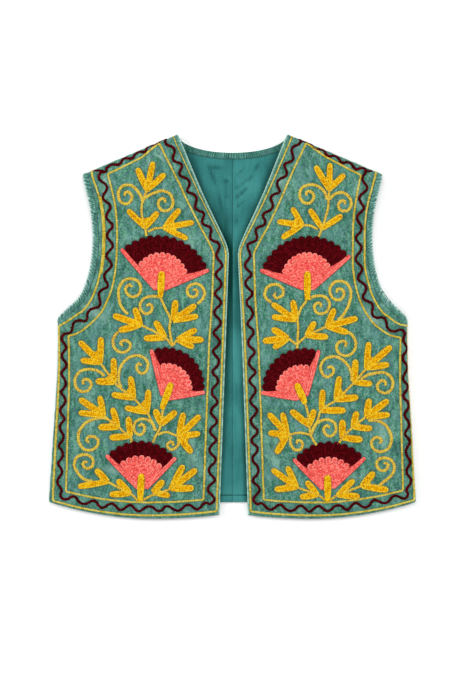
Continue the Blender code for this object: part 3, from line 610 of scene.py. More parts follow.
def run_along(points):
    """Length of a polyline up to each of its points."""
    return np.concatenate([[0.0], np.cumsum(np.linalg.norm(np.diff(points, axis=0), axis=1))])


def at_run(points, run, at):
    """Points of a polyline at these lengths along it."""
    return np.stack([np.interp(at, run, points[:, k]) for k in (0, 1)], axis=-1)


def along(points, shares):
    """Points of a polyline at these shares of its length."""
    run = run_along(points)
    return at_run(points, run, np.asarray(shares) * run[-1])


def even(points, count):
    """The polyline as this many even steps."""
    return along(points, np.linspace(0, 1, count + 1))


def ruled(first, last, shares):
    """Rows of points from one line to another, at these shares of the way."""
    shares = np.reshape(shares, (-1, 1, 1))
    return first * (1 - shares) + last * shares


def smooth_curve(points, steps=CURVE_STEPS):
    """A dense centripetal Catmull-Rom curve through the points."""
    points = np.asarray(points, float)
    ends = np.vstack([2 * points[0] - points[1], points, 2 * points[-1] - points[-2]])
    curve = []
    for i in range(len(points) - 1):
        rung = ends[i : i + 4]
        t = np.concatenate([[0.0], np.cumsum(np.linalg.norm(np.diff(rung, axis=0), axis=1) ** 0.5)])
        for at in np.linspace(t[1], t[2], steps, endpoint=False):
            row = rung
            for wide in (1, 2):
                low, high = t[:-wide, None], t[wide:, None]
                row = ((high - at) * row[:-1] + (at - low) * row[1:]) / (high - low)
            curve.append(((t[2] - at) * row[0] + (at - t[1]) * row[1]) / (t[2] - t[1]))
    return np.array([*curve, points[-1]])


def moved_left(curve, distance):
    """The curve moved to the left of its direction, by one distance or by one for each point."""
    return curve + quarter_turn(unit(np.gradient(curve, axis=0))) * np.reshape(distance, (-1, 1))


def split_where(curve, measure, limit):
    """The two parts of a curve, cut where a measure that rises along it reaches a limit."""
    values = measure(curve[:, 0], curve[:, 1])
    first = int(np.argmax(values > limit))
    share = (limit - values[first - 1]) / (values[first] - values[first - 1])
    cut = curve[first - 1] + share * (curve[first] - curve[first - 1])
    return np.vstack([curve[:first], cut]), np.vstack([cut, curve[first:]])


def arc_over(start, end, rise, shares, depth=0.0):
    """Points of the arc from start to end that stands this far over their line, moved in by a depth."""
    width = float(np.linalg.norm(end - start))
    across = (end - start) / width
    over = quarter_turn(across)
    radius = (width**2 / 4 + rise**2) / (2 * rise)
    centre = (start + end) / 2 + over * (rise - radius)
    turn = (2 * np.asarray(shares) - 1) * math.asin(width / 2 / radius)
    reach = radius - np.asarray(depth)
    return centre + np.outer(reach * np.sin(turn), across) + np.outer(reach * np.cos(turn), over)


# ---- Outline of the garment as it lies ----

SIDE_CURVE = smooth_curve(SIDE_OUTLINE)


def side_x(y):
    """Distance of the side's outline from the middle at height y."""
    return np.interp(y, SIDE_CURVE[:, 1], SIDE_CURVE[:, 0])


def side_roll(y):
    """Radius of the side roll at height y."""
    return np.interp(y, (SIDE_HEM_Y, UNDERARM_Y), (SIDE_ROLL_AT_HEM, SIDE_ROLL_AT_UNDERARM))


def side_start(y):
    """Distance from the middle at which the side roll starts."""
    return side_x(y) - side_roll(y) - FRONT_WALL / 2


def side_seam(y):
    """Cloth coordinate of the side seam at height y."""
    return side_start(y) + math.pi * side_roll(y) + SIDE_UNDER


def back_side(y):
    """The back's side edge at these heights: just inside the seam, underneath."""
    return np.stack([side_start(y) - SIDE_UNDER - SEAM_GAP, y], axis=-1)


def hem_y(x):
    """Lower edge of a front: lowest under its middle, level round the side roll."""
    past = np.clip((x - HEM_LOWEST_X) / (HEM_HALF - HEM_LOWEST_X), 0.0, 1.0)
    before = np.clip((HEM_LOWEST_X - x) / HEM_LOWEST_X, 0.0, 1.0)
    return LOW_Y + HEM_RISE_AT_SIDE * past**2 + HEM_RISE_AT_FRONT * before**2


def shoulder_point(s, beyond):
    """Points at distances s from the neck along the shoulder, this far beyond its outline."""
    return NECK_POINT + np.multiply.outer(s, SHOULDER_ALONG) + np.multiply.outer(beyond, SHOULDER_OUT)


def past_shoulder_start(p, q):
    """How far a point lies past the line where the shoulder roll starts."""
    return (p - NECK_POINT[0]) * SHOULDER_OUT[0] + (q - NECK_POINT[1]) * SHOULDER_OUT[1] + SHOULDER_START


def back_neck_line(inset, short_of_roll):
    """Back neck edge from the middle to this far short of the shoulder roll, moved in by inset."""
    turn = np.linspace(0.0, math.pi / 2, NECK_CURVE_POINTS)
    curve = np.stack([NECK_HALF * np.sin(turn), BACK_NECK_Y + BACK_NECK_DROP * (1 - np.cos(turn))], axis=1)
    edge = even(split_where(curve, past_shoulder_start, -short_of_roll)[0], BACK_NECK_STEPS)
    line = moved_left(edge, -inset)
    line[0][0] = 0.0
    return line


# ---- The cloth of a front, in cloth coordinates p across and q up ----


def front_height(p, q):
    """Height of the middle of the cloth on top: low on the lining, risen towards the rolls."""
    to_side = np.maximum(side_start(q) - p, 0.0)
    above_roll = np.maximum(q - ROLL_END_Y, 0.0)
    side = smoothstep(np.hypot(to_side, above_roll) / SIDE_RISE_WIDTH)
    shoulder = smoothstep(np.maximum(-past_shoulder_start(p, q), 0.0) / SHOULDER_RISE_WIDTH)
    at_side, at_shoulder = (FRONT_WALL / 2 + 2 * roll - FRONT_LOW_Z for roll in (side_roll(q), SHOULDER_ROLL))
    return FRONT_LOW_Z + at_side * (1 - side) * shoulder + at_shoulder * (1 - shoulder)


def rolled(distance, radius):
    """(outward, height) of cloth this far past the start of a roll."""
    angle = np.clip(distance / radius, 0.0, math.pi)
    under = np.maximum(distance - math.pi * radius, 0.0)
    return radius * np.sin(angle) - under, FRONT_WALL / 2 + radius * (1 + np.cos(angle))


def front_middle(p, q):
    """Middle of a front's cloth in space."""
    x, y, z = p, q, front_height(p, q)
    rolls = (
        (p - side_start(q), side_roll(q), (1.0, 0.0)),
        (past_shoulder_start(p, q), SHOULDER_ROLL, SHOULDER_OUT),
    )
    for past, radius, way in rolls:
        out, height = rolled(np.maximum(past, 0.0), radius)
        x = np.where(past > 0, p + (out - past) * way[0], x)
        y = np.where(past > 0, q + (out - past) * way[1], y)
        z = np.where(past > 0, height, z)
    return np.stack([x, y, z], axis=-1)


def front_surface(grid, lift):
    """Points of a front moved out from the middle of its cloth, along its normal."""
    p, q = grid[..., 0], grid[..., 1]
    step = 0.05
    across = front_middle(p + step, q) - front_middle(p - step, q)
    upwards = front_middle(p, q + step) - front_middle(p, q - step)
    return front_middle(p, q) + lift[..., None] * unit(np.cross(across, upwards))


# ---- Cut edges, as rows of grids ----


def armhole_rows(inset):
    """Front armhole edge from the side seam to the shoulder seam, moved in by inset."""
    beyond = (-SHOULDER_START, SHOULDER_OVER / 2, SHOULDER_OVER + SHOULDER_UNDER_AT_TIP)
    curve = smooth_curve((
        (side_seam(UNDERARM_Y), UNDERARM_Y - UNDERARM_DIP),
        (side_start(UNDERARM_Y) + math.pi * SIDE_ROLL_AT_UNDERARM / 2, UNDERARM_Y + UNDERARM_RISE),
        *ARMHOLE_OUTLINE,
        *shoulder_point(SHOULDER_LENGTH - np.array(SHOULDER_TIP_STEPS), beyond),
    ))
    on_top, on_shoulder = split_where(curve, past_shoulder_start, 0.0)
    on_side, on_top = split_where(on_top, lambda p, q: side_start(q) - p, ROLL_GRID_MARGIN)
    parts = [even(on_side, ROLL_COLUMNS), even(on_top, ARMHOLE_ROWS)[1:], even(on_shoulder, ROLL_ROWS)[1:]]
    return moved_left(np.vstack(parts), inset)


def front_edge_rows(side, underarm_y):
    """Front edge as grid rows: up to the underarm's height, and on to the neck end of the shoulder seam."""
    start = shoulder_point(0.0, -SHOULDER_START)
    turn = np.array([side["at_break"] + NECK_TURN_OUT, V_BREAK_Y + NECK_TURN_RUN])
    before_turn = (side["at_break"], V_BREAK_Y - NECK_TURN_RUN)
    lower = smooth_curve(((side["at_hem"], hem_y(side["at_hem"])), (side["at_waist"], WAIST_Y), before_turn))
    bowed = (start + turn) / 2 + (NECK_BOW, 0.0)
    rolled_over = [shoulder_point(0.0, SHOULDER_OVER / 2)]
    for under in (0.0, SHOULDER_UNDER_AT_NECK):
        from_neck = (back_neck_line(0.0, under)[-1] - NECK_POINT) @ SHOULDER_ALONG
        rolled_over.append(shoulder_point(from_neck, SHOULDER_OVER + under))
    upper = smooth_curve((before_turn, turn, bowed, start, *rolled_over))
    below, above = split_where(lower, lambda p, q: q, underarm_y)
    neck, on_shoulder = split_where(upper, past_shoulder_start, 0.0)
    counts = (EDGE_ROWS, ARMHOLE_ROWS - EDGE_ROWS, ROLL_ROWS)
    parts = [even(part, count) for part, count in zip((above, neck, on_shoulder), counts)]
    return even(below, SIDE_ROWS), np.vstack([parts[0], parts[1][1:], parts[2][1:]])


def front_edge(side):
    """The whole front edge, from the hem to the neck end of the shoulder seam."""
    low_edge, high_edge = front_edge_rows(side, EDGE_SPLIT_Y)
    return np.vstack([low_edge, high_edge[1:]])


def coons(bottom, top, outer, inner, across):
    """A grid of points inside four edges. Rows go up, columns from the outer edge to the inner."""
    up = run_along(outer) + run_along(inner)
    up /= up[-1]
    corners = (ruled(line[0], line[-1], across)[:, 0] for line in (bottom, top))
    return ruled(outer, inner, across).swapaxes(0, 1) + ruled(bottom, top, up) - ruled(*corners, up)


def back_armhole_rows(side, inset):
    """Back armhole edge from the side seam to the shoulder seam, moved in by inset."""
    edge = smooth_curve(ARMHOLE_OUTLINE)
    from_shown = np.clip(np.abs(edge[:, 1] - BACK_SHOWS_Y) / BACK_SHOWS_HALF, 0.0, 1.0)
    shown = (1 + np.cos(math.pi * from_shown)) / 2
    edge = moved_left(edge, BACK_TUCK - (side["back_shows"] + BACK_TUCK) * shown)
    start = (back_side(UNDERARM_Y)[0], UNDERARM_Y - UNDERARM_DIP)
    beyond = -SHOULDER_START - SHOULDER_UNDER_AT_TIP - SEAM_GAP
    end = shoulder_point(SHOULDER_LENGTH - BACK_TIP_STEP, beyond)
    lead = smooth_curve((start, edge[0], edge[CURVE_STEPS // 2]))[:CURVE_STEPS]
    return moved_left(even(np.vstack([lead, edge, end]), ROLL_COLUMNS + ARMHOLE_ROWS), inset)


def back_half_outline(side):
    """Outline of half the back at x > 0, from the middle of the hem to the middle of the neck."""
    arm = back_armhole_rows(side, STRIP_WIDTH + SEAM_GAP)
    edge = back_side(np.linspace(BACK_HEM_Y, arm[0][1], SIDE_ROWS + 1)[:-1])
    neck = back_neck_line(0.0, SHOULDER_UNDER_AT_NECK + SEAM_GAP)
    return np.vstack([[(0.0, BACK_HEM_Y)], edge, arm, neck[::-1]])


def lining_grid(side):
    """Plan of half the lining, from the seam in the middle to the side seam and armhole."""
    arm = back_armhole_rows(side, STRIP_WIDTH + SEAM_GAP)
    arm = arm[past_shoulder_start(arm[:, 0], arm[:, 1]) < -SHOULDER_UNDER_AT_NECK]
    side_rows = LINING_ROWS // 2
    edge = back_side(np.linspace(BACK_HEM_Y, arm[0][1], side_rows + 1)[:-1])
    outer = np.vstack([edge, even(arm, LINING_ROWS - side_rows)])
    neck = back_neck_line(STRIP_WIDTH + SEAM_GAP, SHOULDER_UNDER_AT_NECK + 1.0)
    inner_y = np.linspace(BACK_HEM_Y, neck[0][1], LINING_ROWS + 1)
    inner = np.stack([np.full(LINING_ROWS + 1, SEAM_GAP / 2), inner_y], axis=1)
    top = even(np.vstack([outer[-1], neck[:0:-1], inner[-1]]), LINING_COLUMNS)
    bottom = even(np.vstack([outer[0], inner[0]]), LINING_COLUMNS)
    return coons(bottom, top, outer, inner, np.linspace(0, 1, LINING_COLUMNS + 1))


# ---- Relief of the cloth ----


def lattice_noise(x, y, cell, seed):
    """Smooth noise from -1 to 1 on a lattice with this (width, height) of cell."""
    values = np.random.default_rng(seed).uniform(-1, 1, (NOISE_SIZE, NOISE_SIZE))
    u, v = x / cell[0] + NOISE_SIZE / 2, y / cell[1] + NOISE_SIZE / 2
    i, j = np.floor(u).astype(int), np.floor(v).astype(int)
    share_u, share_v = smoothstep(u - i), smoothstep(v - j)
    left, right = i % NOISE_SIZE, (i + 1) % NOISE_SIZE
    low, high = (
        values[left, row % NOISE_SIZE] * (1 - share_u) + values[right, row % NOISE_SIZE] * share_u
        for row in (j, j + 1)
    )
    return low * (1 - share_v) + high * share_v


def creased(x, y, creases):
    """Height of soft ridges and troughs."""
    rise = np.zeros_like(x)
    for middle_x, middle_y, angle, length, half_width, height in creases:
        cosine, sine = math.cos(math.radians(angle)), math.sin(math.radians(angle))
        dx, dy = x - middle_x, y - middle_y
        along_it = (dx * cosine + dy * sine) / (length / 2)
        across_it = (dy * cosine - dx * sine) / half_width
        fade = np.clip(1 - along_it**2, 0, None) ** 2
        rise = rise + height * fade * np.exp(-CREASE_SHARPNESS * across_it**2)
    return rise


def front_creases(p, q, name):
    """Creases of a front: they die out round the rolls."""
    fade = RISE_FADE_LENGTH
    flat = smoothstep((side_start(q) - p) / fade) * smoothstep(-past_shoulder_start(p, q) / fade)
    return creased(p, q, CREASES[name]) * flat


def lining_fade(y, at_hem, at_neck):
    """1 on the open lining, fading out over these lengths at the hem and the neck."""
    return smoothstep((y - BACK_HEM_Y) / at_hem) * smoothstep((BACK_NECK_Y - STRIP_WIDTH - y) / at_neck)


def lining_rise(x, y):
    """Height that the lining's upright folds add."""
    rise = np.zeros_like(x)
    for fold_x, half_width, height in LINING_FOLDS:
        off_fold = np.clip(np.abs(x - fold_x) / half_width, 0.0, 1.0)
        rise = rise + height * (1 + np.cos(math.pi * off_fold)) / 2
    return rise * lining_fade(y, LINING_FADE, LINING_FADE)


# ---- Making meshes ----


def toned(red, green=0.0, blue=0.0):
    """The three numbers of the "tone" attribute for a grid of points, each one number or a grid."""
    return np.stack(np.broadcast_arrays(red, green, blue), axis=-1)


def set_tone(mesh, tones):
    attribute = mesh.attributes.new("tone", "FLOAT_COLOR", "POINT")
    full = np.hstack([tones, np.ones((len(tones), 1))])
    attribute.data.foreach_set("color", full.ravel().astype(np.float32))


def make_mesh(name, points, quads, tones, sign):
    """A mesh of quads, from points in millimetres, mirrored to the left where the sign is negative."""
    mesh = bpy.data.meshes.new(name)
    points = np.maximum(points * (sign, 1.0, 1.0), (-np.inf, -np.inf, 0.0))
    quads = np.asarray(quads[:, ::sign], np.int32)
    mesh.vertices.add(len(points))
    mesh.vertices.foreach_set("co", (points * MM).ravel())
    mesh.loops.add(quads.size)
    mesh.loops.foreach_set("vertex_index", quads.ravel())
    mesh.polygons.add(len(quads))
    mesh.polygons.foreach_set("loop_start", np.arange(0, quads.size, 4, dtype=np.int32))
    mesh.update(calc_edges=True)
    mesh.validate()
    set_tone(mesh, tones)
    mesh.shade_smooth()
    return mesh


def add_piece(name, mesh, look, node=None):
    """A piece of the scene with its material, standing for a node of the solids if it has one."""
    mesh.materials.append(MATERIALS[look])
    piece = bpy.data.objects.new(name, mesh)
    bpy.context.scene.collection.objects.link(piece)
    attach(piece, "root")
    if node:
        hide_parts(node)
    return piece


def add_shell(name, node, look, sign, outside, inside, tone, keep=None):
    """A closed shell between two matching grids, on the cells to keep."""
    numbers = np.arange(outside[..., 0].size).reshape(outside.shape[:2])
    corners = (numbers[:-1, :-1], numbers[1:, :-1], numbers[1:, 1:], numbers[:-1, 1:])
    top = np.stack(corners, axis=-1).reshape(-1, 4)
    if keep is not None:
        top = top[keep.ravel()]
    steps = np.concatenate([top[:, [k, (k + 1) % 4]] for k in range(4)])
    forth, back = (steps[:, a] * numbers.size + steps[:, b] for a, b in ((0, 1), (1, 0)))
    rim = steps[~np.isin(forth, back)]
    wall = np.hstack([rim[:, ::-1], rim + numbers.size])
    used, quads = np.unique(np.concatenate([top, top[:, ::-1] + numbers.size, wall]), return_inverse=True)
    points = np.concatenate([outside.reshape(-1, 3), inside.reshape(-1, 3)])[used]
    tones = np.tile(tone.reshape(-1, 3), (2, 1))[used]
    mesh = make_mesh(name, points, quads.reshape(-1, 4), tones, sign)
    return add_piece(name, mesh, look, node)


def rounded(distance):
    """Share of the wall's half thickness left at this distance from a turned edge."""
    t = np.clip(distance / EDGE_ROUND, 0.0, 1.0)
    return EDGE_SHARE + (1 - EDGE_SHARE) * np.sqrt(1 - (1 - t) ** 2)


# ---- Stitches ----


class Threads:
    """Links of chain stitch gathered for one piece: grids of points in cloth coordinates."""

    def __init__(self, name, seed):
        self.side = name
        self.rng = np.random.default_rng(seed)
        self.links = []
        self.pads = []
        self.samples = []

    def chain(self, path, width, height, low=0.0, tone=0.5, step=LINK_STEP, loose=0.0, edge=0.0, outline=0.0):
        """A row of links along a path, as a line of STITCHES says."""
        path = np.asarray(path, float)
        run = run_along(path)
        count = max(int(round(run[-1] / step)), 1)
        pace = run[-1] / (count + LINK_OVERLAP)
        at = (np.arange(count)[:, None] + LINK_PLACES * (1 + LINK_OVERLAP)) * pace
        at = np.clip(at, 0, run[-1])
        centre = at_run(path, run, at)
        normal = quarter_turn(unit(at_run(path, run, at + 0.5) - at_run(path, run, at - 0.5)))
        each = (count, 1, 1)
        own_width = self.rng.uniform(*LINK_WIDTHS, each)
        shift = self.rng.uniform(-LINK_SHIFT, LINK_SHIFT, each) * width
        offset = np.outer(LINK_SPREAD * width / 2, LINK_ACROSS) * own_width + shift
        stray = self.rng.uniform(-loose, loose, (*each, 2))
        places = centre[:, :, None] + normal[:, :, None] * offset[..., None] + stray
        tall = self.rng.uniform(*LINK_HEIGHTS, each) * height
        lifts = np.where(LINK_LIFTS < 0, LINK_LIFTS, LINK_LIFTS * tall) + low
        shade = tone + self.rng.normal(0, LINK_SHADES, each)
        shade = shade - DARK_LINK * (self.rng.random(each) < DARK_LINKS)
        # Painted shade: in the hollow between the strands, at the link ends, and with the outline share along
        # the row's edges
        groove_shade = np.array([1.0 + outline, 0.0, 1.0, 0.0, 1.0 + outline])
        tones = toned(np.clip(shade, 0, 1), np.maximum(groove_shade, LINK_ENDS[:, None]), edge)
        self.links.append((places, lifts, tones))
        self.samples.append(centre.reshape(-1, 2))

    def pad(self, grid, lifts, tone=0.2):
        """A low pad of thread under the rows: a grid of cloth coordinates and heights."""
        self.pads.append((grid, lifts, tone))
        self.samples.append(grid.reshape(-1, 2))

    def surface(self, places, lifts):
        creases = front_creases(places[..., 0], places[..., 1], self.side)
        return front_surface(places, FRONT_WALL / 2 + creases + lifts)

    def mesh(self, name, sign):
        """All the links and pads as one mesh."""
        places, lifts, tones = (np.concatenate(parts) for parts in zip(*self.links))
        sheets = [(self.surface(places, lifts), tones)]
        numbers = [np.arange(lifts.size).reshape(lifts.shape)]
        first = lifts.size
        for grid, heights, tone in self.pads:
            # Painted shade on the pads: some on top, and the dark outline at their edges
            groove_shade = np.where(heights < heights.max(), 1.0 + PAD_EDGE_SHADE, PAD_TOP_SHADE)
            sheets.append((self.surface(grid, heights), toned(tone, groove_shade)))
            numbers.append(first + np.arange(heights.size).reshape(heights.shape))
            first += heights.size
        points, tones = (np.concatenate([part.reshape(-1, 3) for part in parts]) for parts in zip(*sheets))
        corners = [(at[..., 1:, :-1], at[..., 1:, 1:], at[..., :-1, 1:], at[..., :-1, :-1]) for at in numbers]
        quads = np.concatenate([np.stack(four, axis=-1).reshape(-1, 4) for four in corners])
        return make_mesh(name, points, quads, tones, sign)


def lobe_axes(base, tip):
    """Length of a lobe, and the unit vectors along it and to its left."""
    length = float(np.linalg.norm(tip - base))
    axis = (tip - base) / length
    return length, np.array([axis, quarter_turn(axis)])


def lobe_taper(length, half_width):
    """Share of its width that a long lobe keeps at its tip."""
    return LOBE_TIP if length > LONG_LOBE * half_width else 1.0


def u_path(base, tip, half_width, offset, root):
    """A row's path up one side of a lobe, round its tip and down the other side."""
    length, axes = lobe_axes(base, tip)
    half_width = min(half_width, length * 0.45)
    offset = min(offset, half_width * 0.8)
    straight = length - half_width
    taper = lobe_taper(length, half_width)
    belly = 1.0 if taper < 1 else (root + 1) / 2 * 1.05
    rise = np.array([(0.0, offset * root), (straight * 0.5, offset * belly)])
    turn = np.linspace(0, math.pi, 9)
    round_tip = np.stack([straight + offset * np.sin(turn), offset * taper * np.cos(turn)], axis=1)
    local = np.vstack([rise * (1, -1), round_tip * (1, -1), rise[::-1]])
    return smooth_curve(base + local @ axes, 4)


def add_lobe(threads, base, tip, half_width, root, low, height, tones, edge=0.0):
    """A lobe filled with rows, one inside the other, over a low pad, as a line of LOBES says."""
    base, tip = np.array(base, float), np.array(tip, float)
    width = ROW_WIDTH * ROW_FILL
    offset = half_width - ROW_WIDTH / 2
    tone, inner_tone = tones
    while offset > ROW_WIDTH * ROW_ROOM:
        threads.chain(u_path(base, tip, half_width, offset, root), width, height, low, tone, edge=edge)
        offset -= ROW_WIDTH
        tone, edge = inner_tone, 0.0
    length, axes = lobe_axes(base, tip)
    blunt = half_width / length
    if offset > -ROW_WIDTH * ROW_ROOM:
        threads.chain([base, tip + (base - tip) * blunt], width, height, low, inner_tone)
    u = np.concatenate([np.linspace(0, 1 - blunt, 5), 1 - blunt * (1 - np.sin(PAD_TIP_ANGLES))])
    into_tip = np.clip((u - (1 - blunt)) / blunt, 0, 1)
    reach = (half_width + PAD_MARGIN) * np.minimum(root + (1 - root) * u / PAD_WIDENS, 1)
    reach *= np.sqrt(np.clip(1 - into_tip**2, 0.02, 1)) * (1 - (1 - lobe_taper(length, half_width)) * u**3)
    along_it, across_it = np.broadcast_arrays((u * length)[:, None], np.outer(reach, PAD_ACROSS))
    lifts = np.tile(np.where(np.abs(PAD_ACROSS) == 1, PAD_FOOT, PAD_HEIGHT), (len(u), 1))
    threads.pad(base + np.stack([along_it, across_it], axis=-1) @ axes, lifts + low)


def tendril_path(start, *bends_and_centre):
    """From the stem through its bends, winding round the centre and in to it."""
    *bends, centre = np.array(bends_and_centre, float)
    reach = np.array([start, *bends]) - centre
    angle = np.unwrap(np.arctan2(reach[:, 1], reach[:, 0]))
    radius = np.linalg.norm(reach, axis=1)
    way = 1 if angle[-1] > angle[-2] else -1
    angle = np.concatenate([angle, angle[-1] + way * np.radians(TENDRIL_TURNS)])
    radius = np.concatenate([radius, radius[-1] * np.array(TENDRIL_SHARES)])
    scale = float(radius[1:].mean())
    wound = smooth_curve(np.stack([angle * scale, radius], axis=1), 10)
    turn = wound[:, 0] / scale
    return centre + wound[:, 1:] * np.stack([np.cos(turn), np.sin(turn)], axis=1)


# ---- Lines of the border ----


def side_cloth(y, inset):
    """Cloth coordinate that lies this far in from the side's outline, seen from above."""
    reach = side_roll(y) + FRONT_WALL / 2
    room = reach - np.asarray(inset, float)
    on_roll = np.arcsin(np.clip(room / reach, 0, 1)) * side_roll(y) + np.maximum(room - reach, 0)
    return side_start(y) + np.where(room < 0, room, on_roll)


def cross(a, b):
    return a[..., 0] * b[..., 1] - a[..., 1] * b[..., 0]


def crossing(first, second):
    """Cuts two curves where the first meets the second: the first up to there, the second from there."""
    steps = np.diff(second, axis=0)
    for i, step in enumerate(np.diff(first, axis=0)):
        apart = second[:-1] - first[i]
        turn = cross(step, steps)
        turn = np.where(np.abs(turn) < 1e-12, 1e-12, turn)
        share, other_share = cross(apart, steps) / turn, cross(apart, step) / turn
        hits = np.nonzero((share >= 0) & (share <= 1) & (other_share >= 0) & (other_share <= 1))[0]
        if len(hits):
            point = first[i] + share[hits[0]] * step
            return np.vstack([first[: i + 1], point]), np.vstack([point, second[hits[0] + 1 :]])
    raise ValueError("two stretches of the border don't meet")


def inset_curve(edge, insets, knots):
    """An edge moved in by an inset that goes with the height of the line itself."""
    height = moved_left(edge, np.mean(insets))[:, 1]
    return moved_left(edge, np.interp(height, knots, insets))


def lengthened(curve, step, share):
    """The curve with its start moved out by this share of the way from its point at a step."""
    return np.vstack([curve[0] + (curve[0] - curve[step]) * share, curve])


def border_line(name, line):
    """One line of the border as five stretches, from the neck end of the shoulder down and round to it."""
    facts = BORDERS[name, line]
    edge = front_edge(SIDES[name])
    edge = edge[past_shoulder_start(edge[:, 0], edge[:, 1]) < LINE_PAST_SHOULDER][::-1]
    front = lengthened(inset_curve(edge, facts["front"], FRONT_KNOTS), 1, 8)
    x = np.linspace(0, side_seam(SIDE_HEM_Y), STRETCH_POINTS["hem"])
    hem = np.stack([x, hem_y(x)], axis=1)
    hem = moved_left(hem, np.interp(x, (0, HEM_HALF / 2, HEM_HALF), HEM_INSETS[line]))
    y = np.linspace(LOW_Y, UNDERARM_Y + SIDE_PAST_UNDERARM, STRETCH_POINTS["side"])
    side = np.stack([side_cloth(y, np.interp(y, (SIDE_HEM_Y, UNDERARM_Y), facts["side"])), y], axis=1)
    arm = lengthened(inset_curve(armhole_rows(0.0), facts["armhole"], ARMHOLE_KNOTS)[6:], 4, 4)
    start, reach, lift = facts["underarm"]
    arm[:, 1] += lift * np.clip((arm[:, 0] - start) / reach, 0, None) ** LIFT_SOFTNESS
    s = np.linspace(SHOULDER_LENGTH + SHOULDER_PAST_TIP, -SHOULDER_PAST_NECK, STRETCH_POINTS["shoulder"])
    past = np.interp(s / SHOULDER_LENGTH, SHOULDER_KNOTS, facts["shoulder"])
    stretches = [front, hem, side, arm, shoulder_point(s, past - SHOULDER_START)]
    for k, after in ((0, 1), (1, 2), (2, 3), (3, 4), (4, 0)):
        stretches[k], stretches[after] = crossing(stretches[k], stretches[after])
    return stretches


def split_at_break(front):
    """A stretch along the front edge, as its part beside the neck and its part below."""
    return split_where(front, lambda p, q: -q, -V_BREAK_Y)


def softened(path, spacing, reach):
    """An even path with its corners rounded over a reach, the ends left in place."""
    width = int(3 * reach / spacing)
    weight = near(np.arange(-width, width + 1) * spacing, reach)
    ends = np.pad(path, ((width, width), (0, 0)), mode="edge")
    soft = np.stack([np.convolve(ends[:, k], weight / weight.sum(), mode="valid") for k in (0, 1)], axis=1)
    from_ends = np.minimum(np.arange(len(path)), np.arange(len(path))[::-1]) * spacing
    return path + (soft - path) * np.clip(from_ends / (2 * reach), 0, 1)[:, None]


def wave_line(name, rng):
    """The round zigzag between the border's two lines, with each stretch's own length and reach."""
    front, *others = border_line(name, "wave")
    runs, phases, reaches, fine = [], [], [], []
    run = phase = 0.0
    for (length, reach), part in zip(WAVES.values(), (*split_at_break(front), *others)):
        total = run_along(part)[-1]
        turns = max(int(round(2 * total / length)), 1)
        marks = np.linspace(0, total, turns + 1)
        marks[1:-1] += rng.uniform(-WAVE_STRAY, WAVE_STRAY, turns - 1) * length
        runs += list(run + marks[1:])
        phases += list(phase + math.pi * np.arange(1, turns + 1))
        reaches += list(reach * rng.uniform(*WAVE_REACHES, turns))
        fine.append(even(part, max(int(total / WAVE_PACE), 2))[1:])
        run, phase = run + total, phase + math.pi * turns
    path = softened(np.vstack(fine), WAVE_PACE, WAVE_CORNER)
    at = run_along(path)
    at *= run / at[-1]
    swing = np.sin(np.interp(at, [0.0, *runs], [0.0, *phases]))
    return moved_left(path, np.interp(at, runs, reaches) * np.sign(swing) * np.abs(swing) ** WAVE_BLUNT)


# ---- Materials ----

BLACK = (0.0, 0.0, 0.0, 1.0)
WHITE = (1.0, 1.0, 1.0, 1.0)


class Nodes:
    """A material's node tree, built up node by node."""

    def __init__(self, name):
        self.material = bpy.data.materials.new(name)
        self.material.use_nodes = True
        self.tree = self.material.node_tree
        self.shader = self.tree.nodes["Principled BSDF"]
        self.place = self.add("ShaderNodeTexCoord").outputs["Object"]

    def feed(self, node, inputs):
        """Gives each input its link, or a number or colour of its own."""
        for key, value in inputs.items():
            if isinstance(value, bpy.types.NodeSocket):
                self.tree.links.new(value, node.inputs[key])
            else:
                node.inputs[key].default_value = value

    def add(self, kind, inputs=None, **settings):
        node = self.tree.nodes.new(kind)
        for key, value in settings.items():
            setattr(node, key, value)
        self.feed(node, inputs or {})
        return node

    def noise(self, scale, detail=2.0, roughness=0.5, stretch=(1, 1, 1), distortion=0.0):
        mapped = self.add("ShaderNodeMapping", {"Vector": self.place, "Scale": stretch}).outputs[0]
        inputs = {"Vector": mapped, "Scale": scale, "Detail": detail, "Roughness": roughness}
        return self.add("ShaderNodeTexNoise", {**inputs, "Distortion": distortion}).outputs["Fac"]

    def bands(self, direction):
        inputs = {"Vector": self.place, "Scale": 330.0, "Distortion": 0.6}
        return self.add("ShaderNodeTexWave", inputs, bands_direction=direction).outputs["Fac"]

    def math(self, operation, a, b):
        return self.add("ShaderNodeMath", {0: a, 1: b}, operation=operation).outputs[0]

    def weighted(self, *parts):
        """Sum of values by weight."""
        total, *others = [self.math("MULTIPLY", value, weight) for value, weight in parts]
        for other in others:
            total = self.math("ADD", total, other)
        return total

    def ramp(self, factor, *stops):
        """Colours over a factor, each stop as (place, colour)."""
        node = self.add("ShaderNodeValToRGB", {"Fac": factor})
        elements = node.color_ramp.elements
        while len(elements) < len(stops):
            elements.new(0.5)
        for element, (place, color) in zip(elements, stops):
            element.position = place
            element.color = color
        return node.outputs["Color"]

    def mix(self, factor, a, b):
        """Two colours mixed. They are the node's inputs 6 and 7, and the mixed one its output 2."""
        return self.add("ShaderNodeMix", {0: factor, 6: a, 7: b}, data_type="RGBA").outputs[2]

    def tone(self):
        """The three numbers painted on the piece."""
        attribute = self.add("ShaderNodeAttribute", attribute_name="tone").outputs["Color"]
        return self.add("ShaderNodeSeparateColor", {"Color": attribute}).outputs

    def finish(self, color, bumps, values):
        """Joins the colour, bumps as (height, strength, distance), and plain values to the shader."""
        normal = {}
        for height, strength, distance in bumps:
            inputs = {"Height": height, "Strength": strength, "Distance": distance, **normal}
            normal = {"Normal": self.add("ShaderNodeBump", inputs).outputs[0]}
        self.feed(self.shader, {"Base Color": color, **normal, **values})
        return self.material


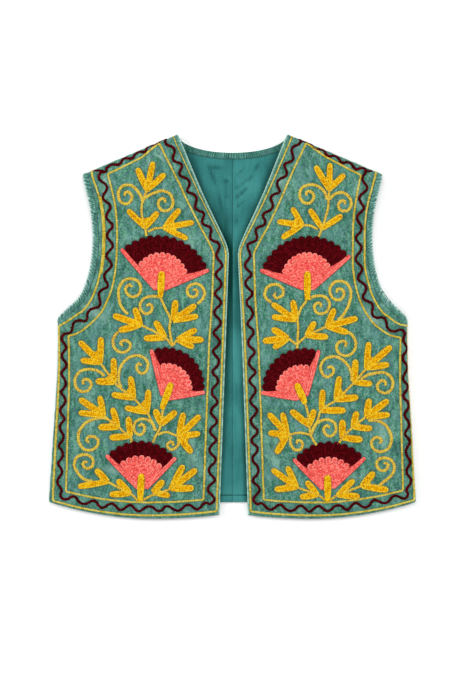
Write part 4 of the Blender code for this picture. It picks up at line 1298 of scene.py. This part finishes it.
def srgb(*screen):
    """Linear colour of a screen colour."""
    shares = [c / 255 for c in screen]
    return (*(c / 12.92 if c <= 0.04045 else ((c + 0.055) / 1.055) ** 2.4 for c in shares), 1.0)


def make_velvet(name, dark, middle, light, rim, shade_share):
    """Crushed velvet: fine streaks, a painted highlight towards a turned rim, and painted shade beside the
    stitches or in a strip's gathers.
    """
    nodes = Nodes(name)
    dark = srgb(*dark)
    streaks = nodes.noise(150, 3.0, 0.6, (1, 0.4, 1), 0.5)
    clouds = nodes.noise(26)
    pile = nodes.noise(400, 3.0, 0.6)
    mixed = nodes.weighted((streaks, 0.46), (clouds, 0.08), (pile, 0.46))
    color = nodes.ramp(mixed, (0.415, dark), (0.5, srgb(*middle)), (0.585, srgb(*light)))
    blue = nodes.ramp(nodes.noise(60, stretch=(1, 0.5, 1)), (0.5, BLACK), (0.66, WHITE))
    color = nodes.mix(nodes.math("MULTIPLY", blue, 0.45), color, srgb(92, 136, 136))
    hues = nodes.noise(300, 2.0, 0.6, (1, 0.7, 1))
    color = nodes.mix(0.28, color, nodes.ramp(hues, (0.42, srgb(42, 118, 82)), (0.58, srgb(98, 130, 140))))
    # The tone's red says how free of painted shade the cloth is, its green the share of painted highlight in
    # the rim colour
    unshaded, highlight, _ = nodes.tone()
    shade = nodes.math("MULTIPLY", nodes.math("SUBTRACT", 1.0, unshaded), shade_share)
    color = nodes.mix(highlight, nodes.mix(shade, color, dark), srgb(*rim))
    sheen = {"Sheen Weight": 0.35, "Sheen Roughness": 0.45, "Sheen Tint": (0.72, 0.95, 0.88, 1.0)}
    bumps = ((pile, 0.5, 0.0006), (streaks, 0.35, 0.0012))
    return nodes.finish(color, bumps, {"Roughness": 0.9, "Specular IOR Level": 0.15, **sheen})


def make_thread(name, shades, groove_shade, groove_shade_share, fleck_shade, fleck_shade_share, outline, edge=None):
    """Wool or cotton thread: shades from link to link, painted shade between the strands and along the
    outlines, with small dark flecks of painted shade.
    """
    nodes = Nodes(name)
    factor, in_groove_shade, on_edge = nodes.tone()
    fibre = nodes.noise(1300, 2.0, 0.6)
    curls = nodes.noise(480, 1.5, 0.55)
    for noise, share in ((fibre, 0.5), (curls, 1.6)):
        factor = nodes.math("ADD", factor, nodes.math("MULTIPLY", nodes.math("SUBTRACT", noise, 0.5), share))
    color = nodes.ramp(factor, *zip((0.05, 0.5, 0.95), [srgb(*shade) for shade in shades]))
    if edge:
        color = nodes.mix(on_edge, color, srgb(*edge))
    # Painted shade in the hollows between the strands and at the link ends
    color = nodes.mix(nodes.math("MULTIPLY", in_groove_shade, groove_shade_share), color, srgb(*groove_shade))
    # Dark flecks at random places: painted shade of the small holes between stitches
    cells = nodes.add("ShaderNodeTexVoronoi", {"Vector": nodes.place, "Scale": 330.0, "Randomness": 1.0})
    spots = nodes.ramp(cells.outputs["Distance"], (0.2, WHITE), (0.36, BLACK))
    color = nodes.mix(nodes.math("MULTIPLY", spots, fleck_shade_share), color, srgb(*fleck_shade))
    # Dark outline: painted shade where the edges of rows and pads meet the cloth
    color = nodes.mix(nodes.math("SUBTRACT", in_groove_shade, 1.0), color, srgb(*outline))
    bumps = ((fibre, 0.35, 0.0004), (curls, 0.4, 0.0008))
    return nodes.finish(color, bumps, {"Roughness": 0.85, "Specular IOR Level": 0.04})


def make_lining():
    """Plain woven cotton, a little slubbed, darkened by the painted shade."""
    nodes = Nodes("lining_cotton")
    clouds, slubs, grain = nodes.noise(14), nodes.noise(260, stretch=(1, 0.12, 1)), nodes.noise(900)
    mixed = nodes.weighted((clouds, 0.6), (slubs, 0.15), (grain, 0.25))
    color = nodes.ramp(mixed, (0.38, srgb(38, 98, 97)), (0.5, srgb(50, 119, 117)), (0.62, srgb(62, 134, 131)))
    color = nodes.mix(nodes.tone()[0], color, srgb(0, 50, 46))
    weave = nodes.math("MULTIPLY", nodes.bands("X"), nodes.bands("Y"))
    finish = {"Roughness": 0.85, "Specular IOR Level": 0.06, "Sheen Weight": 0.04, "Sheen Roughness": 0.5}
    return nodes.finish(color, [(weave, 0.3, 0.0003)], finish)


# Screen colours of each velvet: dark, which is also the colour of its painted shade, middle, light, and rim,
# the colour of its painted highlight; and how much painted shade it takes beside the stitches or in the
# gathers
VELVETS = {
    "velvet": ("velvet_pile", (18, 68, 55), (60, 112, 94), (108, 156, 135), (190, 224, 208), 0.34),
    "binding": ("binding_velvet", (30, 80, 70), (70, 126, 110), (116, 168, 150), (200, 228, 220), 0.95),
    "facing": ("facing_velvet", (20, 72, 64), (54, 120, 106), (98, 160, 144), (150, 206, 190), 0.9),
}
# Screen colours of each thread: three shades, the painted shade in its grooves and its share, the dark
# flecks of painted shade and theirs, the dark outline of painted shade, and the pale edge of leaves and stems
THREADS = {
    "yellow": (
        "thread_yellow", ((207, 137, 0), (234, 186, 4), (244, 212, 40)),
        (176, 114, 4), 0.45, (156, 82, 2), 0.8, (60, 80, 30), (192, 188, 94),
    ),
    "line": (
        "thread_lemon", ((190, 158, 34), (216, 192, 66), (230, 214, 118)),
        (140, 128, 44), 0.6, (150, 116, 30), 0.45, (70, 100, 52),
    ),
    "coral": (
        "thread_coral_wool", ((230, 84, 76), (250, 127, 112), (255, 166, 150)),
        (196, 44, 54), 0.6, (170, 16, 38), 0.75, (130, 60, 50),
    ),
    "maroon": (
        "thread_maroon_wool", ((62, 0, 4), (84, 2, 9), (116, 8, 24)),
        (34, 0, 0), 0.5, (40, 0, 2), 0.5, (40, 20, 18),
    ),
}
MATERIALS = {look: make_velvet(*facts) for look, facts in VELVETS.items()}
MATERIALS["lining"] = make_lining()
MATERIALS.update({look: make_thread(*facts) for look, facts in THREADS.items()})


# ---- Stitching of each front ----


def stitch_front(name):
    """Threads of a front: the border's lines, its wave, and the vines."""
    rng = np.random.default_rng(FRONT_SEEDS[name]["stitches"])
    lines, waves, leaves = (Threads(name, SEEDS[kind]) for kind in ("lines", "waves", "leaves"))
    front, *others = border_line(name, "outer")
    neck, front = split_at_break(front)
    lines.chain(neck, NECK_LINE_WIDTHS[name], **STITCHES["neck_line"])
    for stretch in (front, *others, *border_line(name, "inner")):
        lines.chain(stretch, **STITCHES["line"])
    if name == "left":
        arm = others[ARMHOLE_STRETCH]
        arm = arm[(arm[:, 1] > DOUBLE_ROW[0]) & (arm[:, 1] < DOUBLE_ROW[1])]
        lines.chain(moved_left(arm, DOUBLE_ROW_INSET), **STITCHES["second_line"])
    waves.chain(wave_line(name, rng), **STITCHES["wave"])
    waves.chain(WAVE_STUBS[name], **STITCHES["wave_stub"])
    for stem in VINES[name, "stems"]:
        leaves.chain(smooth_curve(stem, 8), **STITCHES["stem"])
    for tendril in VINES[name, "tendrils"]:
        leaves.chain(tendril_path(*tendril), **STITCHES["tendril"])
    for base, *tips in (np.array(sprig, float) for sprig in VINES[name, "sprigs"]):
        for first, second in zip(tips, tips[1:]):
            add_web(leaves, base, first, second)
        for k, tip in enumerate(tips):
            half = LEAF_HALF * rng.uniform(*LEAF_WIDTHS) * np.interp(tip[1], LEAF_HEIGHTS, LEAF_SHARES)
            low = LEAF_LOW + LEAF_OVERLAP * k
            add_lobe(leaves, base, tip, half, rng.uniform(*LEAF_ROOTS), low, **LOBES["leaf"])
    return lines, waves, leaves


def add_web(threads, base, first, second):
    """Rows that fill the fork between two lobes, over a pad."""
    arms = np.array([first - base, second - base])
    ways = np.arctan2(arms[:, 1], arms[:, 0])
    spread = (ways[1] - ways[0] + math.pi) % (2 * math.pi) - math.pi
    if abs(spread) > WEB_SPREAD:
        return
    reach = WEB_SHARE * float(np.linalg.norm(arms, axis=1).min())

    def rays(shares):
        """Ends of the rows at these shares of the spread, from the base: notched in the middle."""
        turn = ways[0] + spread * shares
        length = reach * (1 - WEB_NOTCH * np.sin(math.pi * shares))
        way = np.stack([np.cos(turn), np.sin(turn)], axis=1)
        return way, way * length[:, None]

    count = max(int(round(2 * reach * math.sin(abs(spread) / 2) / ROW_WIDTH)) - 1, 1)
    for way, ray in zip(*rays((np.arange(count) + 0.5) / count)):
        threads.chain([base + way * 0.2 * reach, base + ray], **STITCHES["web"])
    _, fan = rays(np.linspace(0, 1, 7))
    grid = base + fan * np.linspace(0.02, 1, 4)[:, None, None]
    lifts = np.full(grid.shape[:2], PAD_HEIGHT)
    lifts[-1] = PAD_FOOT
    threads.pad(grid if spread < 0 else grid[:, ::-1], lifts)


def add_flower_pad(threads, low_line, high_line, shares, tone):
    """The pad between two lines that a flower's rows lie on, its edges down on the cloth."""
    grid = ruled(low_line, high_line, shares)
    lifts = np.full(grid.shape[:2], PAD_FOOT)
    lifts[1:-1, 1:-1] = FLOWER_PAD
    threads.pad(grid, lifts, tone)


def flower_corners(name):
    """A flower's foot, tips and cup ends, the ways of its arms and the ways in from them."""
    foot, tips, cup = (np.array(FLOWERS[name][key]) for key in ("foot", "tips", "cup"))
    arms = unit(tips - foot)
    inward = np.stack([arms[:, 1] * (1, -1), arms[:, 0] * (-1, 1)], axis=1)
    return foot, tips, cup, arms, inward


def stitch_cup(threads, name, flip):
    """Coral rows: arcs between the arms, a loop at each scallop, and rows along the arms."""
    foot, tips, cup, arms, inward = flower_corners(name)
    cup_rise = FLOWERS[name]["cup_rise"]
    ends = tips - arms * ARM_HALF
    outer, inner = ends - ARM_HALF * inward, ends + ARM_HALF * inward
    edge = arc_over(*cup, cup_rise, np.linspace(0, 1, 33), CUP_RIM)
    high = np.vstack([outer[0], inner[0], edge, inner[1], outer[1]])
    low = even(foot, len(high) - 1)
    add_flower_pad(threads, low * flip, high * flip, CUP_PAD_SHARES, CUP_TONE)
    crown = arc_over(*cup, cup_rise, [0.5])[0]
    rows = int(np.linalg.norm(crown - foot.mean(axis=0)) / ROW_WIDTH)
    for k in range(CUP_FIRST_ROW, rows + 1):
        share = CUP_LAST_ARC * k / rows
        rise = max(cup_rise * (1 - share) ** CUP_FLATTER, CUP_LEAST_RISE)
        path = arc_over(*(cup + (foot - cup) * share), rise, np.linspace(0.02, 0.98, 24))
        threads.chain(path * flip, **STITCHES["cup_arc"])
    scallops = FLOWERS[name]["petals"] - 2
    half = min(float(np.linalg.norm(cup[1] - cup[0])) * SCALLOP_FILL / scallops / 2, SCALLOP_MOST)
    for at in (np.arange(scallops) + 0.5) / scallops:
        tip, base = arc_over(*cup, cup_rise, [at, at], SCALLOP_DEPTHS)
        add_lobe(threads, base * flip, tip * flip, half, **LOBES["scallop"])
    starts = foot + ARM_STITCH_HALF * inward
    ends = tips - (ARM_HALF - ARM_STITCH_HALF) * inward + arms * ARM_PAST_TIP
    for base, tip in zip(starts * flip, ends * flip):
        add_lobe(threads, base, tip, **LOBES["arm"])


def stitch_crest(threads, name, flip):
    """Maroon petals side by side between the arms."""
    _, tips, cup, arms, inward = flower_corners(name)
    crest_rise, cup_rise, petals = (FLOWERS[name][key] for key in ("crest_rise", "cup_rise", "petals"))
    crest = tips + (2 * ARM_STITCH_HALF - ARM_HALF + PETAL_GAP) * inward
    starts = cup + PETAL_GAP * (inward + arms)
    shares = np.linspace(0, 1, petals * PETAL_STEPS + 1)
    depths = PETAL_DEPTH * (1 - np.abs(np.sin(math.pi * petals * shares)))
    high = arc_over(*crest, crest_rise, shares, depths)
    low = arc_over(*starts, cup_rise, shares, CREST_FOOT)
    add_flower_pad(threads, low * flip, high * flip, np.linspace(0, 1, 7), CREST_TONE)
    for k in range(petals):
        middle, sides = [(k + 0.5) / petals], [k / petals, (k + 1) / petals]
        tip = arc_over(*crest, crest_rise, middle, PETAL_TIP_DEPTH)[0]
        base = arc_over(*starts, cup_rise, middle, PETAL_BASE_DEPTH)[0]
        wide, narrow = arc_over(*crest, crest_rise, sides), arc_over(*starts, cup_rise, sides)
        half = float(np.linalg.norm(wide[1] - wide[0])) / 2 * PETAL_FILL
        root = float(np.linalg.norm(narrow[1] - narrow[0])) / 2 / half
        add_lobe(threads, base * flip, tip * flip, half, root, **LOBES["petal"])


def build_flower(name, side):
    """The rows on a raised flower. Returns where they lie on the cloth."""
    sign = SIDES[side]["sign"]
    samples = []
    for part, stitch, look in (("crest", stitch_crest, "maroon"), ("cup", stitch_cup, "coral")):
        threads = Threads(side, SEEDS[part])
        stitch(threads, name, (sign, 1.0))
        piece = f"{part}_stitches_{name}"
        add_piece(piece, threads.mesh(piece, sign), look, f"flower_{part}_{name}")
        samples += threads.samples
    return samples


# ---- Cloth ----


def graded(count, total):
    """Even shares of a length in millimetres, with close steps at its turned ends."""
    close = np.array([0.0, *EDGE_STEPS]) / total
    high = (1 - close)[::-1]
    inner = np.linspace(0, 1, count + 1)
    margin = 0.4 / count
    return np.concatenate([close, inner[(inner > close[-1] + margin) & (inner < high[0] - margin)], high])


def front_mesh_grid(side):
    """Cloth coordinates of a front's fine grid, the rows below the armhole, and edge distances."""
    arm = armhole_rows(STRIP_WIDTH + SEAM_GAP)
    underarm, arm = arm[: ROLL_COLUMNS + 1], arm[ROLL_COLUMNS:]
    seam_height = underarm[0][1] - SIDE_HEM_Y
    up = graded(SIDE_ROWS, seam_height)
    seam_y = SIDE_HEM_Y + up * seam_height
    seam = np.stack([side_seam(seam_y), seam_y], axis=1)
    seam[-1] = underarm[0]
    low_edge, high_edge = front_edge_rows(side, arm[0][1])
    low_edge = along(low_edge, up)
    width = side_seam(SIDE_HEM_Y) - side["at_hem"]
    roll_share = (side_seam(SIDE_HEM_Y) - side_start(SIDE_HEM_Y) + ROLL_GRID_MARGIN) / width
    panel = graded(PANEL_COLUMNS, width)
    rolling = np.linspace(0, roll_share, ROLL_COLUMNS + 1)
    across = np.concatenate([rolling, roll_share + (1 - roll_share) * panel[1:]])
    hem_x = seam[0][0] + across * (low_edge[0][0] - seam[0][0])
    bottom = np.stack([hem_x, hem_y(hem_x)], axis=1)
    middle = ruled(arm[0], low_edge[-1], panel)[:, 0]
    top = ruled(arm[-1], high_edge[-1], panel)[:, 0]
    lower = coons(bottom, np.vstack([underarm, middle[1:]]), seam, low_edge, across)
    upper = coons(middle, top, arm, high_edge, panel)[1:]
    grid = np.vstack([lower, np.hstack([np.repeat(upper[:, :1], ROLL_COLUMNS, axis=1), upper])])
    below = len(lower)

    def apart(other):
        return np.linalg.norm(grid - other, axis=-1)

    from_front = apart(grid[:, -1:])
    from_top = apart(grid[below - 1 : below])
    from_top[:, ROLL_COLUMNS + 1 :] = from_top[below:] = FAR
    from_arm = apart(grid[:, ROLL_COLUMNS : ROLL_COLUMNS + 1])
    from_arm[:below] = FAR
    others = (apart(grid[:1]), apart(grid[below - 1, ROLL_COLUMNS]), from_top, from_arm)
    return grid, below, from_front, np.minimum.reduce([from_front, *others])


def nearest_stitch(grid, samples):
    """Distance of each point of a grid from the nearest stitch."""
    points = np.concatenate(samples)
    tree = KDTree(len(points))
    for k, (x, y) in enumerate(points.tolist()):
        tree.insert((x, y, 0.0), k)
    tree.balance()
    flat = grid.reshape(-1, 2).tolist()
    return np.array([tree.find((x, y, 0.0))[2] for x, y in flat]).reshape(grid.shape[:2])


def build_front(name, samples):
    """A front's velvet: puffed between the stitches, puckered beside them, and creased."""
    grid, below, from_front, from_edge = front_mesh_grid(SIDES[name])
    p, q = grid[..., 0], grid[..., 1]
    from_stitch = np.maximum(nearest_stitch(grid, samples) - ROW_WIDTH / 2, 0.0)
    seed = FRONT_SEEDS[name]["pucker"]
    wide = lattice_noise(p, q, PUCKER_CELL, seed)
    fine = lattice_noise(p, q, FINE_PUCKER_CELL, seed + 1)
    swell = smoothstep(from_stitch / PUFF_REACH)
    pucker = (PUCKER * wide + FINE_PUCKER * fine) * (PUCKER_AT_STITCH + (1 - PUCKER_AT_STITCH) * swell)
    puff = (PUFF * swell + pucker - FINE_PUCKER) * smoothstep(from_edge / PUFF_EDGE)
    creases = front_creases(p, q, name)
    thick = rounded(from_edge) * FRONT_WALL / 2
    outside = front_surface(grid, thick + (creases + puff) * (from_edge > 0))
    # Painted highlight along the front edge and on the creases' ridges; painted shade beside the stitches and
    # in the creases' troughs
    jag = np.sin(2 * math.pi * q / RIM_JAG_LENGTH + 3 * lattice_noise(p, q, RIM_JAG_CELL, SEEDS["rim"]))
    highlight = near(from_front, RIM_REACH) * (RIM_HIGHLIGHT + RIM_JAG * jag)
    rim = np.clip(highlight + PAINTED_CREASE_HIGHLIGHT * np.clip(creases, 0, 1), 0, 1)
    front_unshaded = smoothstep(from_stitch / STITCH_SHADE_REACH) - PAINTED_CREASE_SHADE * np.clip(-creases, 0, 1)
    keep = np.ones((len(grid) - 1, grid.shape[1] - 1), bool)
    keep[below - 1 :, :ROLL_COLUMNS] = False
    piece = add_shell(
        f"velvet_front_{name}", f"front_{name}", "velvet", SIDES[name]["sign"],
        outside, front_surface(grid, -thick), toned(np.clip(front_unshaded, 0, 1), rim), keep,
    )


def gathered(kind, rows, v, seeds):
    """Run along a gathered strip, its gathers from -1 to 1, its dome across and its half thickness."""
    facts = STRIPS[kind]
    run = np.linspace(0, facts["length"], rows)[:, None]
    everywhere = run + 0 * v
    stray = lattice_noise(everywhere, facts["stray_row"] + 0 * run, facts["stray_cell"], seeds[0])
    phase = 2 * math.pi * (run + facts["stray"] * stray) / facts["gather"]
    phase = phase + facts["slant"] * smoothstep((v - SLANT_FROM) / SLANT_OVER)
    varied = lattice_noise(everywhere, v * STRIP_WIDTH, facts["varied_cell"], seeds[1])
    gather = np.sin(phase) * (facts["same"] + facts["varied"] * varied)
    thick = rounded(np.minimum(v, 1 - v) * STRIP_WIDTH) * facts["wall"] / 2
    return run, gather, np.sin(math.pi * v) ** DOME_BLUNT, thick


def build_front_binding(name):
    """The gathered velvet strip round the front half of the armhole."""
    edge, inner = (even(armhole_rows(inset), STRIP_ROWS) for inset in (0.0, STRIP_WIDTH))
    v = np.array(STRIP_SHARES)
    _, gather, dome, thick = gathered("binding", len(edge), v, FRONT_SEEDS[name]["binding"])
    jag = BINDING_JAG * gather * (1 - v) ** 2
    grid = ruled(edge, inner, v).swapaxes(0, 1) + unit(edge - inner)[:, None] * jag[..., None]
    low, more = BINDING_DOME
    lift = thick + (low + more * gather) * dome
    # Painted shade in the gathers' troughs, and painted highlight along the outer edge and on the gathers'
    # tops
    edge_highlight = STRIP_EDGE_HIGHLIGHT * near(v * STRIP_WIDTH, STRIP_EDGE_REACH) * (1.2 + gather)
    top_highlights = STRIP_TOP_HIGHLIGHT * np.clip(gather, 0, 1) ** 2 * (1 - v)
    light = GATHER_LIGHT * (1 + gather * (1.2 - v))
    tone = toned(np.clip(light, 0, 1), np.clip(edge_highlight + top_highlights, 0, STRIP_MOST_HIGHLIGHT))
    piece = add_shell(
        f"armhole_binding_{name}", f"binding_front_{name}", "binding", SIDES[name]["sign"],
        front_surface(grid, lift), front_surface(grid, -thick), tone,
    )


def build_neck_facing():
    """The gathered velvet turned in at the back neck."""
    halves = [even(back_neck_line(inset, 0.0), FACING_HALF_ROWS) for inset in (0.0, STRIP_WIDTH)]
    edge, inner = (np.vstack([half[:0:-1] * (-1, 1), half]) for half in halves)
    v = np.array(STRIP_SHARES[::-1])
    grid = ruled(edge, inner, v).swapaxes(0, 1)
    run, ribs, dome, thick = gathered("facing", len(edge), v, SEEDS["facing"])
    ribs = ribs * (RIBS_BEYOND + RIBS_MIDDLE * near(run - run.mean(), RIBS_REACH))
    middle = FACING_BOTTOM_Z + FACING_WALL / 2
    low, more = FACING_DOME
    lift = thick + (low + more * ribs) * dome
    # Painted shade in the ribs' troughs and painted highlight on their tops
    tone = toned(np.clip(ribs * 0.6 + 0.5, 0, 1), np.clip(ribs, 0, 1) ** 2 * 0.5 * dome)
    outside, inside = (np.dstack([grid, middle + rise + 0 * lift]) for rise in (lift, -thick))
    piece = add_shell("neck_binding", "neck_facing", "facing", 1, outside, inside, tone)


def add_slab(name, node, look, outline):
    """A flat piece of the back's cloth with soft edges."""
    closed = np.vstack([outline[-1], outline, outline[0]])
    inward = quarter_turn(unit(closed[2:] - closed[:-2]))
    bm = bmesh.new()
    rings = []
    for inset, share in SLAB_RINGS:
        height = share * BACK_WALL * MM
        rings.append([bm.verts.new((x, y, height)) for x, y in (outline + inward * inset) * MM])
    for low, high in zip(rings, rings[1:]):
        for corners in zip(low, low[1:] + low[:1], high[1:] + high[:1], high):
            bm.faces.new(corners)
    bm.faces.new(rings[0][::-1])
    bm.faces.new(rings[-1])
    bmesh.ops.recalc_face_normals(bm, faces=bm.faces)
    bmesh.ops.triangulate(bm, faces=bm.faces)
    mesh = bpy.data.meshes.new(name)
    bm.to_mesh(mesh)
    bm.free()
    set_tone(mesh, np.tile([1.0, 0.0, 0.0], (len(mesh.vertices), 1)))
    mesh.shade_smooth()
    return add_piece(name, mesh, look, node)


def build_back():
    """The back's velvet, and the strips along its armholes."""
    right = back_half_outline(SIDES["right"])
    left = back_half_outline(SIDES["left"])[1:-1][::-1] * (-1, 1)
    piece = add_slab("velvet_back", "back", "velvet", np.vstack([right, left]))
    for name, side in SIDES.items():
        edge, inner = (back_armhole_rows(side, inset) for inset in (0.0, STRIP_WIDTH))
        outline = (np.vstack([edge, inner[::-1]]) * (side["sign"], 1))[:: side["sign"]]
        piece = add_slab(f"back_armhole_binding_{name}", f"binding_back_{name}", "binding", outline)


def between(rows, at):
    """Rows of a grid taken at fractional places."""
    low = np.minimum(np.floor(at).astype(int), len(rows) - 2)
    share = (at - low)[:, None, None]
    return rows[low] * (1 - share) + rows[low + 1] * share


def close_at_hem_and_seam(grid):
    """A lining grid with close rows at the hem and close columns at the middle seam."""
    rows, columns = grid.shape[:2]
    at_hem = np.linspace(0, CLOSE_CELLS, CLOSE_STEPS)
    at_seam = columns - 1.0 - at_hem[::-1]
    grid = between(grid, np.concatenate([at_hem, np.arange(CLOSE_CELLS + 1.0, rows)]))
    at = np.concatenate([np.arange(at_seam[0]), at_seam])
    return between(grid.swapaxes(0, 1), at).swapaxes(0, 1)


def lining_shade(x, y, name):
    """How dark the lining lies beside the open front edge, strongest high up."""
    edge = front_edge(SIDES[name])
    clear = np.maximum(np.interp(y, edge[:, 1], edge[:, 0]) - x, 0.0)
    reach, depth = (np.interp(y, SHADE_KNOTS, table[name]) for table in (SHADE_REACH, SHADE_DEPTH))
    return depth * np.exp(-((clear / reach) ** 3)) + UNDER_EDGE_SHADE * near(clear, UNDER_EDGE_REACH)


def build_lining(name):
    """Half of the lining: soft upright folds, a pressed seam down the middle and a turned hem."""
    grid = close_at_hem_and_seam(lining_grid(SIDES[name]))[:, ::-1]
    x, y = grid[..., 0], grid[..., 1]
    fade = lining_fade(y, *CREASE_FADE)
    creases = creased(x, y, LINING_CREASES[name]) * fade
    band = LINING_SEAM_BAND[name]
    on_band = (1 - smoothstep((x - band["width"] + 1.0) / 2.0)) * smoothstep((x - 0.2) / 1.2)
    above_hem = y - (BACK_HEM_Y + LINING_HEM)
    puff = LINING_PUFF * smoothstep((y - LINING_PUFF_Y) / LINING_PUFF_RUN) * fade
    ripple = LINING_RIPPLE * lattice_noise(x, y, LINING_RIPPLE_CELL, SEEDS["lining"])
    rise = lining_rise(x, y) + puff + creases + ripple + band["height"] * on_band
    hem = HEM_STEP * (above_hem < 0) - HEM_GROOVE * near(above_hem, HEM_GROOVE_HALF)
    rise = np.maximum(rise + hem, 0.0)
    from_seam, from_hem = (np.linalg.norm(grid - edge, axis=-1) for edge in (grid[:, :1], grid[:1]))
    thick = rounded(np.minimum(from_seam, from_hem)) * LINING_WALL / 2
    middle = LINING_BOTTOM_Z + LINING_WALL / 2 + rise
    # Painted tones of the lining: darker lines at the seam and the hem's stitching, a darker band beside the
    # seam, a painted highlight on the pressed line and on the creases' ridges, and painted shade in their
    # troughs and beside the open front edge
    at_seam = SEAM_SHADE + SEAM_SHADE_MORE * smoothstep((y - SEAM_SHADE_Y) / SEAM_SHADE_RUN)
    lines = near(from_seam, LINE_REACH) * at_seam + near(above_hem, LINE_REACH) * HEM_SHADE
    lines = lines + band["shade"] * on_band - band["pressed"] * near(x - PRESSED_X, LINE_REACH)
    tone = toned(np.clip(lines + lining_shade(x, y, name) - LINING_CREASE_SHADE * creases, 0, 1))
    outside, inside = (np.dstack([grid, middle + way * thick]) for way in (1, -1))
    sign = SIDES[name]["sign"]
    piece = add_shell(f"cotton_lining_{name}", f"back_lining_{name}", "lining", sign, outside, inside, tone)


def build_embroidery(name, side):
    """A front's stitches. Returns where they lie on the cloth."""
    lines, waves, leaves = stitch_front(name)
    samples = lines.samples + waves.samples + leaves.samples
    for key in ("upper", "middle", "lower"):
        samples += build_flower(f"{key}_{name}", name)
    pistils = Threads(name, SEEDS["pistils"])
    for base, tip in VINES[name, "pistils"]:
        add_lobe(pistils, base, tip, **LOBES["pistil"])
    for threads, kind, look in (
        (lines, "border_lines", "line"),
        (waves, "border_wave", "maroon"),
        (leaves, "vines", "yellow"),
        (pistils, "flower_hearts", "yellow"),
    ):
        piece = f"{kind}_{name}"
        add_piece(piece, threads.mesh(piece, side["sign"]), look)
    return samples


def build_garment():
    build_back()
    build_neck_facing()
    for name in SIDES:
        build_lining(name)
    for name, side in SIDES.items():
        build_front(name, build_embroidery(name, side))
        build_front_binding(name)


# ---- Floor, light and camera, in metres ----

FLOOR_SIZE = 6.0
FLOOR_COLOR = (0.95, 0.95, 0.95, 1.0)
ROOM_LIGHT = 0.56
LENS = 85.0
SENSOR = 36.0
# What the photo's height shows at the garment's top, the view's middle, and that top's height
VIEW_HEIGHT = 1.0
VIEW_CENTRE = (0.0007, -0.0336)
GARMENT_TOP = 0.009


def build_stage():
    """A white floor in even light from all round."""
    bpy.ops.mesh.primitive_plane_add(size=FLOOR_SIZE, location=(0, 0, 0))
    floor = bpy.context.object
    floor.name = "floor"
    nodes = Nodes("floor_paint")
    nodes.feed(nodes.shader, {"Base Color": FLOOR_COLOR, "Roughness": 0.9})
    floor.data.materials.append(nodes.material)
    world = bpy.data.worlds.new("studio")
    world.use_nodes = True
    background = world.node_tree.nodes["Background"]
    background.inputs["Color"].default_value = WHITE
    background.inputs["Strength"].default_value = ROOM_LIGHT
    bpy.context.scene.world = world


def add_light(name, place, size, energy):
    """A square light aimed at the middle of the garment."""
    light = bpy.data.lights.new(name, "AREA")
    light.shape = "SQUARE"
    light.size = size
    light.energy = energy
    lamp = bpy.data.objects.new(name, light)
    lamp.location = place
    x, y, z = place
    lamp.rotation_euler = (math.atan2(math.hypot(x, y), z), 0.0, math.atan2(-y, -x) - math.pi / 2)
    bpy.context.scene.collection.objects.link(lamp)


def add_camera():
    """A camera straight above, looking down, as far up as the photo's view asks."""
    camera = bpy.data.cameras.new("camera")
    camera.lens = LENS
    camera.sensor_width = SENSOR
    camera.sensor_fit = "AUTO"
    holder = bpy.data.objects.new("camera", camera)
    holder.location = (*VIEW_CENTRE, GARMENT_TOP + VIEW_HEIGHT * LENS / SENSOR)
    bpy.context.scene.collection.objects.link(holder)
    bpy.context.scene.camera = holder


build_garment()
bpy.context.scene.view_settings.view_transform = "Standard"
build_stage()
add_light("left", (-2.4, 0.7, 1.5), 1.1, 43.0)
add_light("right", (2.3, 0.9, 1.6), 1.2, 33.0)
add_light("overhead", (0.0, 0.4, 2.6), 1.6, 24.0)
add_camera()
